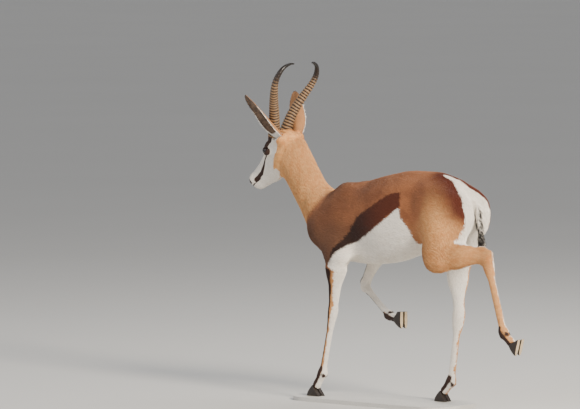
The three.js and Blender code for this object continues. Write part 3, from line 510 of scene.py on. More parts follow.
inner_leg = np.where(limb & hind & lower_leg, shin_limit, inner_leg)
# The dark brown down the front of each foreleg is partly the leg's own stripe and partly painted shade, which
# widens it over the outer side towards the elbow.
reach_out = (0.64 - 0.34 * down_leg) * step(-0.3, 0.8, outward)
leg_stripe_and_shade = np.where(limb & fore, (shin_front - 0.55 + reach_out) * 0.011, OUTSIDE)
leg_stripe_and_shade = np.where(on_pastern, (shin_front + 0.30) * 0.009, leg_stripe_and_shade)
print("inner legs", int((inner_leg > 0).sum()), "points")

# %% Face, and all the white together
CHEEK_EDGE = [  # in the head's frame, along and up
    (0.018, 0.040), (0.024, 0.009), (0.065, -0.014), (0.097, -0.022), (0.123, -0.039), (0.133, -0.059),
    (0.138, -0.090),
]
along, out, up = in_head(points)
face = np.minimum(across_line(CHEEK_EDGE, along, up), 0.30 - along)
forehead = np.minimum(0.092 - along, up - 0.036)
face = np.where(on_head, np.minimum(face, -forehead), OUTSIDE)
throat = np.where(on_head & (up < -0.050) & (along > 0.115), 0.02, OUTSIDE)
white = np.maximum.reduce([belly, groin, inner_thigh, armpit, rump, tail_root, inner_leg, face, throat])
white = np.where(trunk, np.minimum(white, -band), white)
print("white", int((white > 0).sum()), "points of", len(points))

# %% [markdown]
# ## Dark markings
#
# A brown stripe runs from the eye to the lip, a dark patch from the eye to the horn, and the eye, the nose,
# the mouth, the small claws and the fronts of the feet are dark too. They are thin lines on a fine skin, so
# they are measured in the head's own frame, where they don't move when the neck does.

# %% Stripe of the face, eye, nose and mouth
FACE_STRIPE = [(0.104, 0.010), (0.140, 0.012), (0.166, -0.002), (0.192, -0.011), (0.232, -0.009)]
BROW = [(0.050, 0.047), (0.072, 0.041), (0.094, 0.034)]
EYE_RING, BROW_HALF, NOSE_FROM = 0.0170, 0.0115, 0.252


def line_gap(line, u, v):
    """How far each point is from a line of points."""
    best = np.full(len(u), 1e9)
    for (u0, v0), (u1, v1) in zip(line, line[1:]):
        du, dv = u1 - u0, v1 - v0
        t = np.clip(((u - u0) * du + (v - v0) * dv) / (du * du + dv * dv), 0, 1)
        best = np.minimum(best, np.hypot(u - u0 - t * du, v - v0 - t * dv))
    return best


half_stripe = 0.0030 + 0.0052 * step(0.135, 0.205, along)
cheek = on_head & (np.abs(out) > 0.02)
stripe_gap = half_stripe - line_gap(FACE_STRIPE, along, up)
face_stripe = np.where(on_head & (np.abs(out) > 0.008), stripe_gap, OUTSIDE)
eye_gap = np.hypot(along - EYE_AT, up - EYE_UP)
eye_ring = np.where(cheek, EYE_RING - eye_gap, OUTSIDE)
brow = np.where(cheek, BROW_HALF - line_gap(BROW, along, up), OUTSIDE)
nose = np.where(on_head, np.minimum(along - NOSE_FROM, up + 0.006), OUTSIDE)
mouth_gap = np.where(on_head & (along > MOUTH_AT - 0.006), 0.0024 - np.abs(mouth_line), OUTSIDE)
print("stripe", int((face_stripe > 0).sum()), "points, eye rings", int((eye_ring > 0).sum()))

# %% Small claws behind each fetlock
dewclaws = np.full(len(points), OUTSIDE)
for joints in JOINTS.values():
    fetlock, toe = np.array(joints[2]), np.array(joints[3])
    down = unit(fetlock - np.array(joints[1]))
    front = np.array([down[2], 0.0, -down[0]])
    for where in (-1, 1):
        root = fetlock - 0.010 * front + np.array([0.0, 0.008 * where, 0.0])
        way = unit(unit(toe - fetlock) * 0.9 - front * 0.7)
        reach = np.clip((points - root) @ way, 0.004, 0.017)
        dewclaws = np.maximum(dewclaws, 0.0060 - np.linalg.norm(points - root - reach[:, None] * way, axis=1))
# The dark markings; down the forelegs they include painted shade.
stripe = np.maximum.reduce([face_stripe, eye_ring, brow, nose, mouth_gap, leg_stripe_and_shade, dewclaws])
print("dark", int((stripe > 0).sum()), "points")

# %% [markdown]
# ## Soft tints
#
# Round the white rump the coat deepens to chestnut and fades away from the edge, so here the stored value is
# a share and not a distance. The neck, the haunch and the legs are golden. The shoulder, the breast and a
# fold in front of the thigh get painted shade, a darker brown. One layer holds both: above zero it is gold,
# below zero it is painted shade.

# %% Chestnut rim, gold and painted shade
def gap_to(chosen, reach):
    """How far each point within reach of the chosen ones is from the nearest of them."""
    tree = KDTree(int(chosen.sum()))
    for index, place in enumerate(points[chosen]):
        tree.insert(place, index)
    tree.balance()
    near = points[chosen]
    low, high = near.min(axis=0) - reach, near.max(axis=0) + reach
    away = np.full(len(points), reach)
    for index in np.nonzero(((points > low) & (points < high)).all(axis=1) & trunk)[0]:
        away[index] = min(reach, tree.find(points[index])[2])
    return away


fade = 0.085 * step(0.53, 0.66, z) * step(0.86, 0.74, z) + 0.022
rim = (1.0 - gap_to(rump > 0, 0.12) / fade) * step(0.600, 0.690, z)
spine = np.where(trunk & (x > 0.02), 0.9 - np.abs(y) / 0.012 - 0.9 * step(0.20, 0.02, x), -1.0)
rim = np.maximum(rim, np.where(z > 0.72, spine, -1.0))
gold = np.where(on_head | (parts == "neck"), 1.0, 0.0)
haunch = np.exp(-((x - 0.260) / 0.100) ** 2 - ((z - 0.625) / 0.095) ** 2)
gold = np.maximum(gold, 0.95 * haunch * trunk)
gold = np.maximum(gold, 0.60 * (limb | (hind & (z < 0.56))))
# Painted shade: the front of the trunk is darkened, most low on the shoulder and breast, and a patch in the
# fold in front of the thigh, where shade falls.
shadow = np.where(trunk, step(0.00, -0.22, x), 0.0) * (0.35 + 0.5 * step(0.66, 0.54, z))
shadow += 0.55 * trunk * np.exp(-((x - 0.150) / 0.030) ** 2 - ((z - 0.690) / 0.060) ** 2)
gold = spread(gold - shadow, 14)
white, stripe, rim = spread(white, 1), spread(stripe, 1), spread(rim, 2)


for name, values in (("white", white), ("band", band), ("stripe", stripe), ("rim", rim), ("gold", gold)):
    add_layer(skin, name, values)
print("stored markings: stripe", int((stripe > 0).sum()), "rim", int((rim > 0).sum()))

# %% [markdown]
# ## The lie of the coat
#
# Hair lies from the nose back over the head, down the neck, back and down over the trunk, and straight down
# the legs. A direction for each part is flattened onto the skin and then evened out, so that the lie
# turns slowly from one part to the next. The length of the hair is stored in the same way: short on the face
# and legs, longer on the rump, the breast and behind the thighs.

# %% Lie and length of the hair
lie = np.tile([1.0, 0.0, -0.38], (len(points), 1))
lie[parts == "neck"] = (0.45, 0.0, -0.75)
lie[on_head] = np.array(-head_ahead) + np.array(head_up) * 0.1
lie[trunk & (x > 0.27)] = (0.35, 0.0, -0.9)
lie[trunk & (z < 0.54) & (x < 0.05)] = (0.9, 0.0, -0.15)
for name, joints in JOINTS.items():
    for suffixes, (start, end) in (
        (("_forearm", "_gaskin"), joints[0:2]), (("_cannon",), joints[1:3]), (("_pastern",), joints[2:4]),
    ):
        rows = (leg_of == name) & np.char.endswith(parts, suffixes[0])
        for suffix in suffixes[1:]:
            rows |= (leg_of == name) & np.char.endswith(parts, suffix)
        lie[rows] = unit(np.array(end) - np.array(start))
lie = spread(unit(lie), 20)
lie = unit(lie - normals * (lie * normals).sum(axis=1, keepdims=True))

hair = np.full(len(points), 0.0105)
hair[parts == "neck"] = 0.0100
hair[trunk & (rump > -0.004)] = 0.0150
hair[trunk & (x > 0.24) & (z < 0.62)] = 0.0165
hair[mid_leg] = 0.0080
hair[lower_leg] = 0.0048
hair[on_head] = 0.0085 - 0.0052 * step(0.0, 0.09, along[on_head])
hair = spread(hair, 14)
bare = np.where(on_head & ((eye_gap < 0.0145) | (mouth_gap > -0.001)), 1.0, 0.0)
bare = np.maximum(bare, np.where(on_head & (nose > 0), 0.8, 0.0))
thick = 1.0 - spread(bare, 1)
add_layer(skin, "hair", hair)
add_layer(skin, "thick", thick)
add_layer(skin, "lie", lie, "FLOAT_VECTOR")
print("hair", round(float(hair.min() * 1000), 1), "to", round(float(hair.max() * 1000), 1), "mm")

# %% [markdown]
# ## A flat pattern of the skin
#
# A taxidermist cuts a hide flat. Here each part is unrolled round its own axis into its own cell of a
# square, so every tuft can carry the place of its root in that square, in a UV map named OFBake. Blender
# can unwrap by itself, but this stays the same whatever the remesh did, and no two parts share a cell.

# %% Unroll each part into a cell
CELLS = {"torso": (0.0, 0.42, 0.62, 0.58), "neck": (0.64, 0.66, 0.36, 0.34), "head": (0.64, 0.30, 0.36, 0.34)}
limb_names = sorted(n for n in set(solid_names) if n not in CELLS)
for index, name in enumerate(limb_names):
    CELLS[name] = ((index % 8) * 0.0775, (index // 8) * 0.195, 0.070, 0.180)
face_count = len(skin.data.polygons)
corner_points = corners_of(skin)
corner_count = len(corner_points)
starts = np.zeros(face_count, np.int64)
skin.data.polygons.foreach_get("loop_start", starts)
face_of_corner = np.searchsorted(starts, np.arange(corner_count), side="right") - 1
face_part = parts[corner_points[starts]]
face_part = np.where(on_head[corner_points[starts]], "head", face_part)
flat = np.zeros((corner_count, 2))
for name, (left, foot, wide, high) in CELLS.items():
    corners = np.nonzero((face_part == name)[face_of_corner])[0]
    if not len(corners):
        continue
    rows = points[corner_points[corners]]
    axis = 0 if name == "torso" else 2
    if name == "head":
        rows = np.stack(in_head(rows), axis=1)[:, [2, 1, 0]]
    centre = (rows.min(axis=0) + rows.max(axis=0)) / 2
    others = [i for i in range(3) if i != axis]
    a, b = (rows - centre)[:, others].T
    angle = np.arctan2(a, b) / (2 * math.pi)
    first = angle[np.searchsorted(corners, starts[face_of_corner[corners]])]
    angle = angle - np.round(angle - first)
    depth_along = (rows[:, axis] - rows[:, axis].min()) / max(np.ptp(rows[:, axis]), 1e-6)
    flat[corners, 0] = left + wide * np.clip(0.5 + angle, 0, 1)
    flat[corners, 1] = foot + high * depth_along
add_layer(skin, "pattern", flat, "FLOAT2", "CORNER")
print("unrolled", len(CELLS), "parts into cells")

# %% [markdown]
# ## One tuft, many times
#
# A coat is thousands of small locks. Particle hair would be quick, but it doesn't survive the export, so
# a Geometry Nodes tree strews one small solid lock over the skin: it roots each lock under the surface, lays
# it along the stored direction, lifts it a little, and gives each its own length and shade. The tree ends in
# real mesh. It is run once for each region, so that no piece of the coat grows too large.

# %% The lock of hair
def lock_mesh(name, thickness=0.42):
    """A flat tapered lock, one long, that starts below the surface. It is drawn along +Y with +Z outward."""
    rings = [(-0.16, 0.60, -0.12), (0.46, 1.0, 0.06)]  # place along the lock, width, height
    points, faces = [], []
    for place, width, rise in rings:
        for turn in (90, 210, 330):
            across, high = math.cos(math.radians(turn)), math.sin(math.radians(turn))
            points.append((0.5 * width * across, place, rise + 0.5 * thickness * width * high))
    points.append((0.0, 1.0, -0.02))
    for a, b in ((0, 1), (1, 2), (2, 0)):
        faces += [(a, b, b + 3, a + 3), (a + 3, b + 3, 6)]
    faces.append((2, 1, 0))
    made = mesh_object(name, points, faces)
    add_layer(made, "patch", [(p[0], p[1] - 0.5) for p in points], "FLOAT2")
    add_layer(made, "tip", [max(0.0, p[1]) for p in points])
    face_outward(made)
    return made


lock = lock_mesh("lock")
lock.hide_render = lock.hide_viewport = True
print("a lock has", sum(len(p.vertices) - 2 for p in lock.data.polygons), "triangles")

# %% A Geometry Nodes tree in words
class Tree:
    """A Geometry Nodes tree with named inputs."""

    def __init__(self, name):
        self.group = bpy.data.node_groups.new(name, "GeometryNodeTree")
        self.group.interface.new_socket("Geometry", in_out="OUTPUT", socket_type="NodeSocketGeometry")
        self.start = self.group.nodes.new("NodeGroupInput")
        self.end = self.group.nodes.new("NodeGroupOutput")

    def input(self, name, kind, value=None):
        socket = self.group.interface.new_socket(name, in_out="INPUT", socket_type=kind)
        if value is not None:
            socket.default_value = value
        return self.start.outputs[name]

    def node(self, kind, settings=None, sockets=None, output=0):
        made = self.group.nodes.new(kind)
        for key, value in (settings or {}).items():
            setattr(made, key, value)
        for key, value in (sockets or {}).items():
            if isinstance(value, bpy.types.NodeSocket):
                self.group.links.new(value, made.inputs[key])
            else:
                made.inputs[key].default_value = value
        return made if output is None else made.outputs[output]

    def named(self, name, kind="FLOAT"):
        return self.node("GeometryNodeInputNamedAttribute", {"data_type": kind}, {"Name": name})

    def maths(self, operation, a, b=0.0):
        return self.node("ShaderNodeMath", {"operation": operation}, {0: a, 1: b})

    def plus(self, a, b):
        return self.maths("ADD", a, b)

    def times(self, a, b):
        return self.maths("MULTIPLY", a, b)

    def apply(self, obj, **values):
        """Runs the tree on an object, with inputs set by their identifiers, and keeps the plain mesh."""
        modifier = obj.modifiers.new(self.group.name, "NODES")
        modifier.node_group = self.group
        for item in self.group.interface.items_tree:
            if item.item_type == "SOCKET" and item.in_out == "INPUT" and item.name in values:
                modifier[item.identifier] = values[item.name]
        return baked(obj)


print("tree class ready")

# %% [markdown]
# ## Strewing the locks
#
# The tree has five stages: points on the faces of one region, a turn for each that follows the lie of the
# hair, a size of its own, the locks themselves, and the place of each on the flat pattern. The random draws
# have a fixed seed, so the coat grows the same way each time.

# %% Points and their turns
PATCH = 0.003  # how wide a lock's patch is on the flat pattern
SWING = 0.55  # how far locks turn from the lie, in radians from side to side
tufts = Tree("strew tufts")
surface = tufts.input("Geometry", "NodeSocketGeometry")
lock_input = tufts.input("Lock", "NodeSocketObject")
finish_input = tufts.input("Finish", "NodeSocketMaterial")
region_input = tufts.input("Region", "NodeSocketFloat", 0.0)
density_input = tufts.input("Density", "NodeSocketFloat", 60000.0)
width_input = tufts.input("Width", "NodeSocketFloat", 0.0030)
lift_input = tufts.input("Lift", "NodeSocketFloat", 0.16)
seed_input = tufts.input("Seed", "NodeSocketInt", 1)
here = tufts.node("ShaderNodeMath", {"operation": "COMPARE"}, {
    0: tufts.named("region"), 1: region_input, 2: 0.5,
})
strewn = tufts.node("GeometryNodeDistributePointsOnFaces", {"distribute_method": "RANDOM"}, {
    "Mesh": surface, "Selection": here, "Seed": seed_input,
    "Density": tufts.times(density_input, tufts.named("thick")),
}, None)
shade = tufts.node("FunctionNodeRandomValue", {"data_type": "FLOAT"}, {"Seed": seed_input}, 1)
turn = tufts.node("FunctionNodeRandomValue", {"data_type": "FLOAT"}, {"Seed": tufts.plus(seed_input, 7)}, 1)
shaded = tufts.node("GeometryNodeStoreNamedAttribute", {"data_type": "FLOAT", "domain": "POINT"}, {
    "Geometry": strewn.outputs["Points"], "Name": "shade", "Value": shade,
})
facing = tufts.node("FunctionNodeAxesToRotation", {"primary_axis": "Z", "secondary_axis": "Y"}, {
    "Primary Axis": strewn.outputs["Normal"], "Secondary Axis": tufts.named("lie", "FLOAT_VECTOR"),
})
swing = tufts.times(tufts.maths("SUBTRACT", turn, 0.5), SWING)
lift = tufts.times(lift_input, tufts.plus(shade, 0.5))
lifted = tufts.node("ShaderNodeCombineXYZ", {}, {"X": lift, "Z": swing})
turned = tufts.node("FunctionNodeRotateRotation", {"rotation_space": "LOCAL"}, {
    "Rotation": facing,
    "Rotate By": tufts.node("FunctionNodeEulerToRotation", {}, {0: lifted}),
})
print("points strewn and turned by", len(tufts.group.nodes), "nodes")

# %% Locks and their places on the pattern
own_length = tufts.times(tufts.named("hair"), tufts.plus(0.72, tufts.times(turn, 0.56)))
size = tufts.node("ShaderNodeCombineXYZ", {}, {"X": width_input, "Y": own_length, "Z": width_input})
placed = tufts.node("GeometryNodeInstanceOnPoints", {}, {
    "Points": shaded, "Rotation": turned, "Scale": size,
    "Instance": tufts.node("GeometryNodeObjectInfo", {}, {"Object": lock_input}, "Geometry"),
})
real = tufts.node("GeometryNodeRealizeInstances", {}, {"Geometry": placed})
offset = tufts.node("ShaderNodeVectorMath", {"operation": "SCALE"}, {
    0: tufts.named("patch", "FLOAT_VECTOR"), "Scale": PATCH,
})
spot = tufts.node("ShaderNodeVectorMath", {"operation": "ADD"}, {
    0: tufts.named("pattern", "FLOAT_VECTOR"), 1: offset,
})
mapped = tufts.node("GeometryNodeStoreNamedAttribute", {"data_type": "FLOAT2", "domain": "CORNER"}, {
    "Geometry": real, "Name": "OFBake", "Value": spot,
})
coated = tufts.node("GeometryNodeSetMaterial", {}, {"Geometry": mapped, "Material": finish_input})
tufts.group.links.new(coated, tufts.end.inputs[0])
print("tree with", len(tufts.group.nodes), "nodes")

# %% [markdown]
# ## Finishes
#
# A finish is a network of shader nodes. Wiring it by hand takes many lines, so one small class wraps a socket
# and turns ordinary sums into Math nodes, and one method makes every other node. A tone is given as it looks
# on a screen and is turned into the linear value that the shader wants.

# %% Shader sums
def tone(*screen):
    """A screen colour as linear light."""
    return tuple(c / 12.92 if c <= 0.04045 else ((c + 0.055) / 1.055) ** 2.4 for c in screen) + (1.0,)


class Wire:
    """A node's output that can be used in sums."""

    def __init__(self, finish, socket):
        self.finish = finish
        self.socket = socket

    def sum(self, operation, first, second):
        return self.finish.node("ShaderNodeMath", {"operation": operation}, {0: first, 1: second})

    def __add__(self, other):
        return self.sum("ADD", self, other)

    def __sub__(self, other):
        return self.sum("SUBTRACT", self, other)

    def __rsub__(self, other):
        return self.sum("SUBTRACT", other, self)

    def __mul__(self, other):
        return self.sum("MULTIPLY", self, other)

    __radd__ = __add__
    __rmul__ = __mul__


class Finish:
    """One material, with a Principled shader that feeds its output."""

    def __init__(self, name, **plain):
        self.material = bpy.data.materials.new(name)
        self.material.use_nodes = True
        self.tree = self.material.node_tree
        self.tree.nodes.clear()
        self.end = self.tree.nodes.new("ShaderNodeOutputMaterial")
        self.shader = self.tree.nodes.new("ShaderNodeBsdfPrincipled")
        self.tree.links.new(self.shader.outputs[0], self.end.inputs["Surface"])
        for key, value in plain.items():
            self.shader.inputs[key.replace("_", " ")].default_value = value
        self.place = self.node("ShaderNodeTexCoord", {}, {}, "Object")

    def node(self, kind, settings, sockets, output=0):
        made = self.tree.nodes.new(kind)
        for key, value in settings.items():
            setattr(made, key, value)
        for key, value in sockets.items():
            self.wire(value, made.inputs[key])
        return Wire(self, made.outputs[output])

    def wire(self, value, socket):
        if isinstance(value, Wire):
            self.tree.links.new(value.socket, socket)
        else:
            socket.default_value = value

    def feed(self, name, wire):
        self.wire(wire, self.shader.inputs[name])

    def stored(self, name):
        return self.node("ShaderNodeAttribute", {"attribute_name": name}, {}, "Fac")

    def noise(self, scale, detail=3.0, rough=0.55, vector=None):
        return self.node("ShaderNodeTexNoise", {}, {
            "Vector": vector or self.place, "Scale": scale, "Detail": detail, "Roughness": rough,
        }, "Fac")

    def ease(self, value, low, high):
        """0 below low and 1 above high."""
        return self.node("ShaderNodeMapRange", {"interpolation_type": "SMOOTHSTEP"}, {
            "Value": value, "From Min": low, "From Max": high,
        })

    def blend(self, factor, first, second):
        return self.node("ShaderNodeMix", {"data_type": "RGBA"}, {0: factor, 6: first, 7: second}, 2)

    def stretched(self, scale):
        return self.node("ShaderNodeMapping", {}, {"Vector": self.place, "Scale": scale})

    def bump(self, height, strength, distance=0.001):
        self.feed("Normal", self.node("ShaderNodeBump", {}, {
            "Height": height, "Strength": strength, "Distance": distance,
        }))

    def shaded(self, colour, base, tip=0.0):
        """The colour with each tuft's own shade, and its tip a little lighter."""
        value = self.stored("shade") * 0.20 + self.stored("tip") * tip + base
        return self.node("ShaderNodeHueSaturation", {}, {"Value": value, "Color": colour})


print("black is", tone(0, 0, 0), "and white is", tone(1, 1, 1))


# %% [markdown]
# ## The coat's colours
#
# The skin and every tuft have the same network, so a marking is the same on both. Each stored distance is
# roughened by noise and eased over two or three millimetres, which frays the edge as hair does. Under the
# markings the ground colour goes from cinnamon on the back to gold on the neck and haunch, with slow patches
# of a lighter and a darker tone, because no hide is one colour. Painted shade turns it brown on the
# shoulder, the breast and in the fold in front of the thigh.

# %% Coat material
CINNAMON = tone(0.60, 0.385, 0.245)
CINNAMON_DEEP = tone(0.49, 0.30, 0.19)
# The brown of the painted shade on the shoulder, breast and thigh fold.
PAINTED_SHADE_BROWN = tone(0.40, 0.265, 0.185)
GOLD = tone(0.85, 0.60, 0.36)
GOLD_PALE = tone(0.91, 0.70, 0.46)
BAND_FRONT = tone(0.17, 0.095, 0.07)
BAND_BACK = tone(0.33, 0.15, 0.08)
RIM = tone(0.33, 0.135, 0.065)
STRIPE = tone(0.20, 0.12, 0.09)
WHITE = tone(0.945, 0.925, 0.89)
WHITE_SHADE = tone(0.86, 0.82, 0.77)


def coat_finish(name, grain):
    """The coat's colours and markings; the skin has a fine grain as well."""
    finish = Finish(name, Roughness=0.72, Sheen_Weight=0.12, Sheen_Roughness=0.4, Specular_IOR_Level=0.3)
    fray = (finish.noise(160.0, 3.0) - 0.5) * 0.010 + (finish.noise(38.0, 2.0) - 0.5) * 0.012
    slow = finish.ease(finish.noise(9.0, 3.0), 0.35, 0.65)
    streak = finish.ease(finish.noise(60.0, 2.0, 0.6, finish.stretched((1.0, 2.2, 1.6))), 0.3, 0.7)
    along = finish.node("ShaderNodeSeparateXYZ", {}, {"Vector": finish.place}, "X")
    ground = finish.blend(slow, CINNAMON, CINNAMON_DEEP)
    warm = finish.blend(streak, GOLD, GOLD_PALE)
    colour = finish.blend(finish.stored("gold"), ground, warm)
    # Painted shade: where the layer is below zero the coat turns brown.
    colour = finish.blend(finish.ease(finish.stored("gold"), -0.05, -0.75), colour, PAINTED_SHADE_BROWN)
    colour = finish.blend(finish.ease(finish.stored("rim") + fray * 9.0, 0.0, 0.85), colour, RIM)
    bright = finish.blend(finish.noise(55.0, 3.0), WHITE, WHITE_SHADE)
    colour = finish.blend(finish.ease(finish.stored("white") + fray, -0.0016, 0.0016), colour, bright)
    dark = finish.blend(finish.ease(along, -0.12, 0.09), BAND_FRONT, BAND_BACK)
    colour = finish.blend(finish.ease(finish.stored("band") + fray, -0.0022, 0.0022), colour, dark)
    # Dark markings, with painted shade down the front of the forelegs.
    colour = finish.blend(finish.ease(finish.stored("stripe") + fray * 0.35, -0.0012, 0.0012), colour, STRIPE)
    finish.feed("Base Color", finish.shaded(colour, 0.90, 0.10))
    if grain:
        finish.bump(finish.noise(420.0, 2.0, 0.6), 0.35, 0.0012)
    return finish.material


skin_material = coat_finish("hide and fur", True)
tuft_material = coat_finish("fur", False)
finish_with(skin, skin_material)
print("coat materials with", len(skin_material.node_tree.nodes), "nodes each")

# %% Fit the skin to the model
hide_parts(*sorted(set(solid_names)))
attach(skin, "root")

# %% [markdown]
# ## The coat in regions
#
# One mesh with every tuft would be too heavy to handle. The skin's faces are shared out in regions, and the
# tree strews each region by itself, with its own seed. Trunk tufts are the widest and the longest; those on
# the face and the lower legs are fine and short, because there the real hair is a few millimetres long.

# %% Share the skin out
REGIONS = [  # name, tufts to a square metre, width of a tuft, lift
    ("coat_breast_left", 84000, 0.0023, 0.10), ("coat_breast_right", 84000, 0.0023, 0.10),
    ("coat_flank_left", 84000, 0.0023, 0.10), ("coat_flank_right", 84000, 0.0023, 0.10),
    ("coat_haunch_left", 84000, 0.0023, 0.11), ("coat_haunch_right", 84000, 0.0023, 0.11),
    ("coat_neck", 96000, 0.0022, 0.10), ("coat_head", 172000, 0.0013, 0.09),
    ("coat_forelegs", 150000, 0.0015, 0.08), ("coat_hindlegs", 150000, 0.0015, 0.08),
]
region_of_point = np.where(x < -0.06, 0, np.where(x < 0.16, 2, 4)) + (y > 0)
region_of_point[parts == "neck"] = 6
region_of_point[on_head] = 7
region_of_point[limb & fore] = 8
region_of_point[limb & hind] = 9
add_layer(skin, "region", region_of_point[corner_points[starts]], "FLOAT", "FACE")
print("faces shared out in", len(REGIONS), "regions")

# %% Strew every region
QUICK_SHARE = 1.0
coats = []
for index, (name, density, width, lift) in enumerate(REGIONS):
    piece = bpy.data.objects.new(name, skin.data.copy())
    bpy.context.collection.objects.link(piece)
    tufts.apply(
        piece, Lock=lock, Finish=tuft_material, Region=float(index), Density=density * QUICK_SHARE,
        Width=width, Lift=lift, Seed=index + 3)
    piece.data.name = name
    coats.append(piece)
    print(name, len(piece.data.polygons), "faces")
for piece in coats:
    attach(piece, "root")

# %% [markdown]
# ## Horns
#
# The horns rise, part and hook in at the tips. All but the tip carries raised rings. Each horn is a curve
# through a few points; a Geometry Nodes tree sweeps a circle along it, and a second step lifts the rings out
# of the surface, so that they stand as real ridges rather than as bump.

# %% Smooth paths
def smooth_path(corners, count):
    """Evenly parted points on a curve through the corners, with rounder bends than straight lines give."""
    corners = np.array(corners, float)
    padded = np.vstack([2 * corners[0] - corners[1], corners, 2 * corners[-1] - corners[-2]])
    rows = []
    for p, q, r, s in zip(padded, padded[1:], padded[2:], padded[3:]):
        for t in np.linspace(0, 1, 24, endpoint=False):
            square, cube = 2 * p - 5 * q + 4 * r - s, 3 * q - p - 3 * r + s
            rows.append(0.5 * (2 * q + (r - p) * t + square * t ** 2 + cube * t ** 3))
    rows = np.array(rows + [corners[-1]])
    walked = np.concatenate([[0], np.cumsum(np.linalg.norm(np.diff(rows, axis=0), axis=1))])
    evenly = np.linspace(0, walked[-1], count)
    return np.stack([np.interp(evenly, walked, rows[:, i]) for i in range(3)], axis=1)


def line_object(name, rows):
    """A new object that is a line through these points."""
    data = bpy.data.meshes.new(name)
    data.from_pydata([tuple(p) for p in rows], [(i, i + 1) for i in range(len(rows) - 1)], [])
    made = bpy.data.objects.new(name, data)
    bpy.context.collection.objects.link(made)
    return made


# %% The tree that sweeps a horn
HORN_BASE, HORN_TIP, HORN_RINGS = 0.0212, 0.0026, 25
HORN_RINGED = 0.82  # how far up the rings go, as a part of the length
horn_tree = Tree("grow horn")
spine_input = horn_tree.input("Geometry", "NodeSocketGeometry")
horn_finish_input = horn_tree.input("Finish", "NodeSocketMaterial")
ridge_input = horn_tree.input("Ridge", "NodeSocketFloat", 0.0027)
ring_input = horn_tree.input("Rings", "NodeSocketFloat", float(HORN_RINGS))
sums = horn_tree.maths
along_horn = horn_tree.node("GeometryNodeSplineParameter", {}, {}, "Factor")
taper = sums("POWER", sums("SUBTRACT", 1.0, along_horn), 0.72)
thickness = sums("ADD", HORN_TIP, sums("MULTIPLY", HORN_BASE - HORN_TIP, taper))
core = horn_tree.node("GeometryNodeMeshToCurve", {}, {"Mesh": spine_input})
marked = horn_tree.node("GeometryNodeStoreNamedAttribute", {"data_type": "FLOAT", "domain": "POINT"}, {
    "Geometry": core, "Name": "along", "Value": along_horn,
})
ringed = horn_tree.node("GeometryNodeCurveToMesh", {}, {
    "Curve": marked, "Scale": thickness, "Fill Caps": True,
    "Profile Curve": horn_tree.node("GeometryNodeCurvePrimitiveCircle", {}, {
        "Resolution": 28, "Radius": 1.0,
    }, "Curve"),
})
print("horn swept by", len(horn_tree.group.nodes), "nodes")

# %% Raise the rings
RING_WANDER, RING_SHARP, RING_FLOOR = 0.80, 0.85, 0.62  # how uneven, how narrow and how sunk between
place_on = horn_tree.named("along")
wobble = horn_tree.node("ShaderNodeTexNoise", {}, {"Scale": 26.0, "Detail": 2.0}, 0)
count_up = sums("MULTIPLY", place_on, sums("DIVIDE", ring_input, HORN_RINGED))
height = sums("ADD", count_up, sums("MULTIPLY", wobble, RING_WANDER))
wave = sums("ABSOLUTE", sums("SINE", sums("MULTIPLY", height, math.pi)))
fading = horn_tree.node("ShaderNodeMapRange", {"interpolation_type": "SMOOTHSTEP"}, {
    "Value": place_on, "From Min": HORN_RINGED - 0.22, "From Max": HORN_RINGED + 0.04,
    "To Min": 1.0, "To Max": 0.0,
})
crest_shape = sums("SUBTRACT", sums("POWER", wave, RING_SHARP), RING_FLOOR)
ridge = sums("MULTIPLY", sums("MULTIPLY", crest_shape, fading), ridge_input)
moved = horn_tree.node("GeometryNodeSetPosition", {}, {
    "Geometry": ringed,
    "Offset": horn_tree.node("ShaderNodeVectorMath", {"operation": "SCALE"}, {
        0: horn_tree.node("GeometryNodeInputNormal"), "Scale": ridge,
    }),
})
kept = horn_tree.node("GeometryNodeStoreNamedAttribute", {"data_type": "FLOAT", "domain": "POINT"}, {
    "Geometry": moved, "Name": "ridge", "Value": sums("MULTIPLY", wave, fading),
})
smooth_horn = horn_tree.node("GeometryNodeSetShadeSmooth", {}, {0: kept, "Shade Smooth": True})
finished_horn = horn_tree.node("GeometryNodeSetMaterial", {}, {
    "Geometry": horn_tree.node("GeometryNodeRealizeInstances", {}, {"Geometry": smooth_horn}),
    "Material": horn_finish_input,
})
horn_tree.group.links.new(finished_horn, horn_tree.end.inputs[0])
print("horn tree with", len(horn_tree.group.nodes), "nodes")

# %% [markdown]
# ## Finish and place of the horns
#
# Horn is brown between the rings, straw-coloured on their crests and nearly black at the tip, and it gets
# smoother towards the tip, where grass and bark polish it. Each horn starts a little inside the forehead.

# %% Horn finish
HORN_ROOT = (0.040, 0.029, 0.052)
HORN_WAY = [
    (-0.526, 0.050, 0.985), (-0.504, 0.078, 1.042), (-0.480, 0.102, 1.090), (-0.463, 0.107, 1.124),
    (-0.449, 0.093, 1.154), (-0.440, 0.066, 1.169), (-0.434, 0.050, 1.170),
]
HORN_SUNK = 0.008
HORN_STEPS = 360
horn_finish = Finish("horn", Roughness=0.42, Specular_IOR_Level=0.45)
grain = horn_finish.noise(240.0, 4.0, 0.6, horn_finish.stretched((1.0, 1.0, 0.25)))
crest = horn_finish.stored("ridge")
on_crest = horn_finish.ease(crest * 0.8 + grain * 0.5, 0.50, 1.15)
near_tip = horn_finish.ease(horn_finish.stored("along"), 0.62, 0.92)
horn_tone = horn_finish.blend(on_crest, tone(0.19, 0.135, 0.10), tone(0.60, 0.47, 0.33))
horn_finish.feed("Base Color", horn_finish.blend(near_tip, horn_tone, tone(0.10, 0.08, 0.07)))
horn_finish.feed("Roughness", 0.62 - horn_finish.stored("along") * 0.34)
horn_finish.bump(grain, 0.5, 0.0012)
print("horn finish with", len(horn_finish.tree.nodes), "nodes")

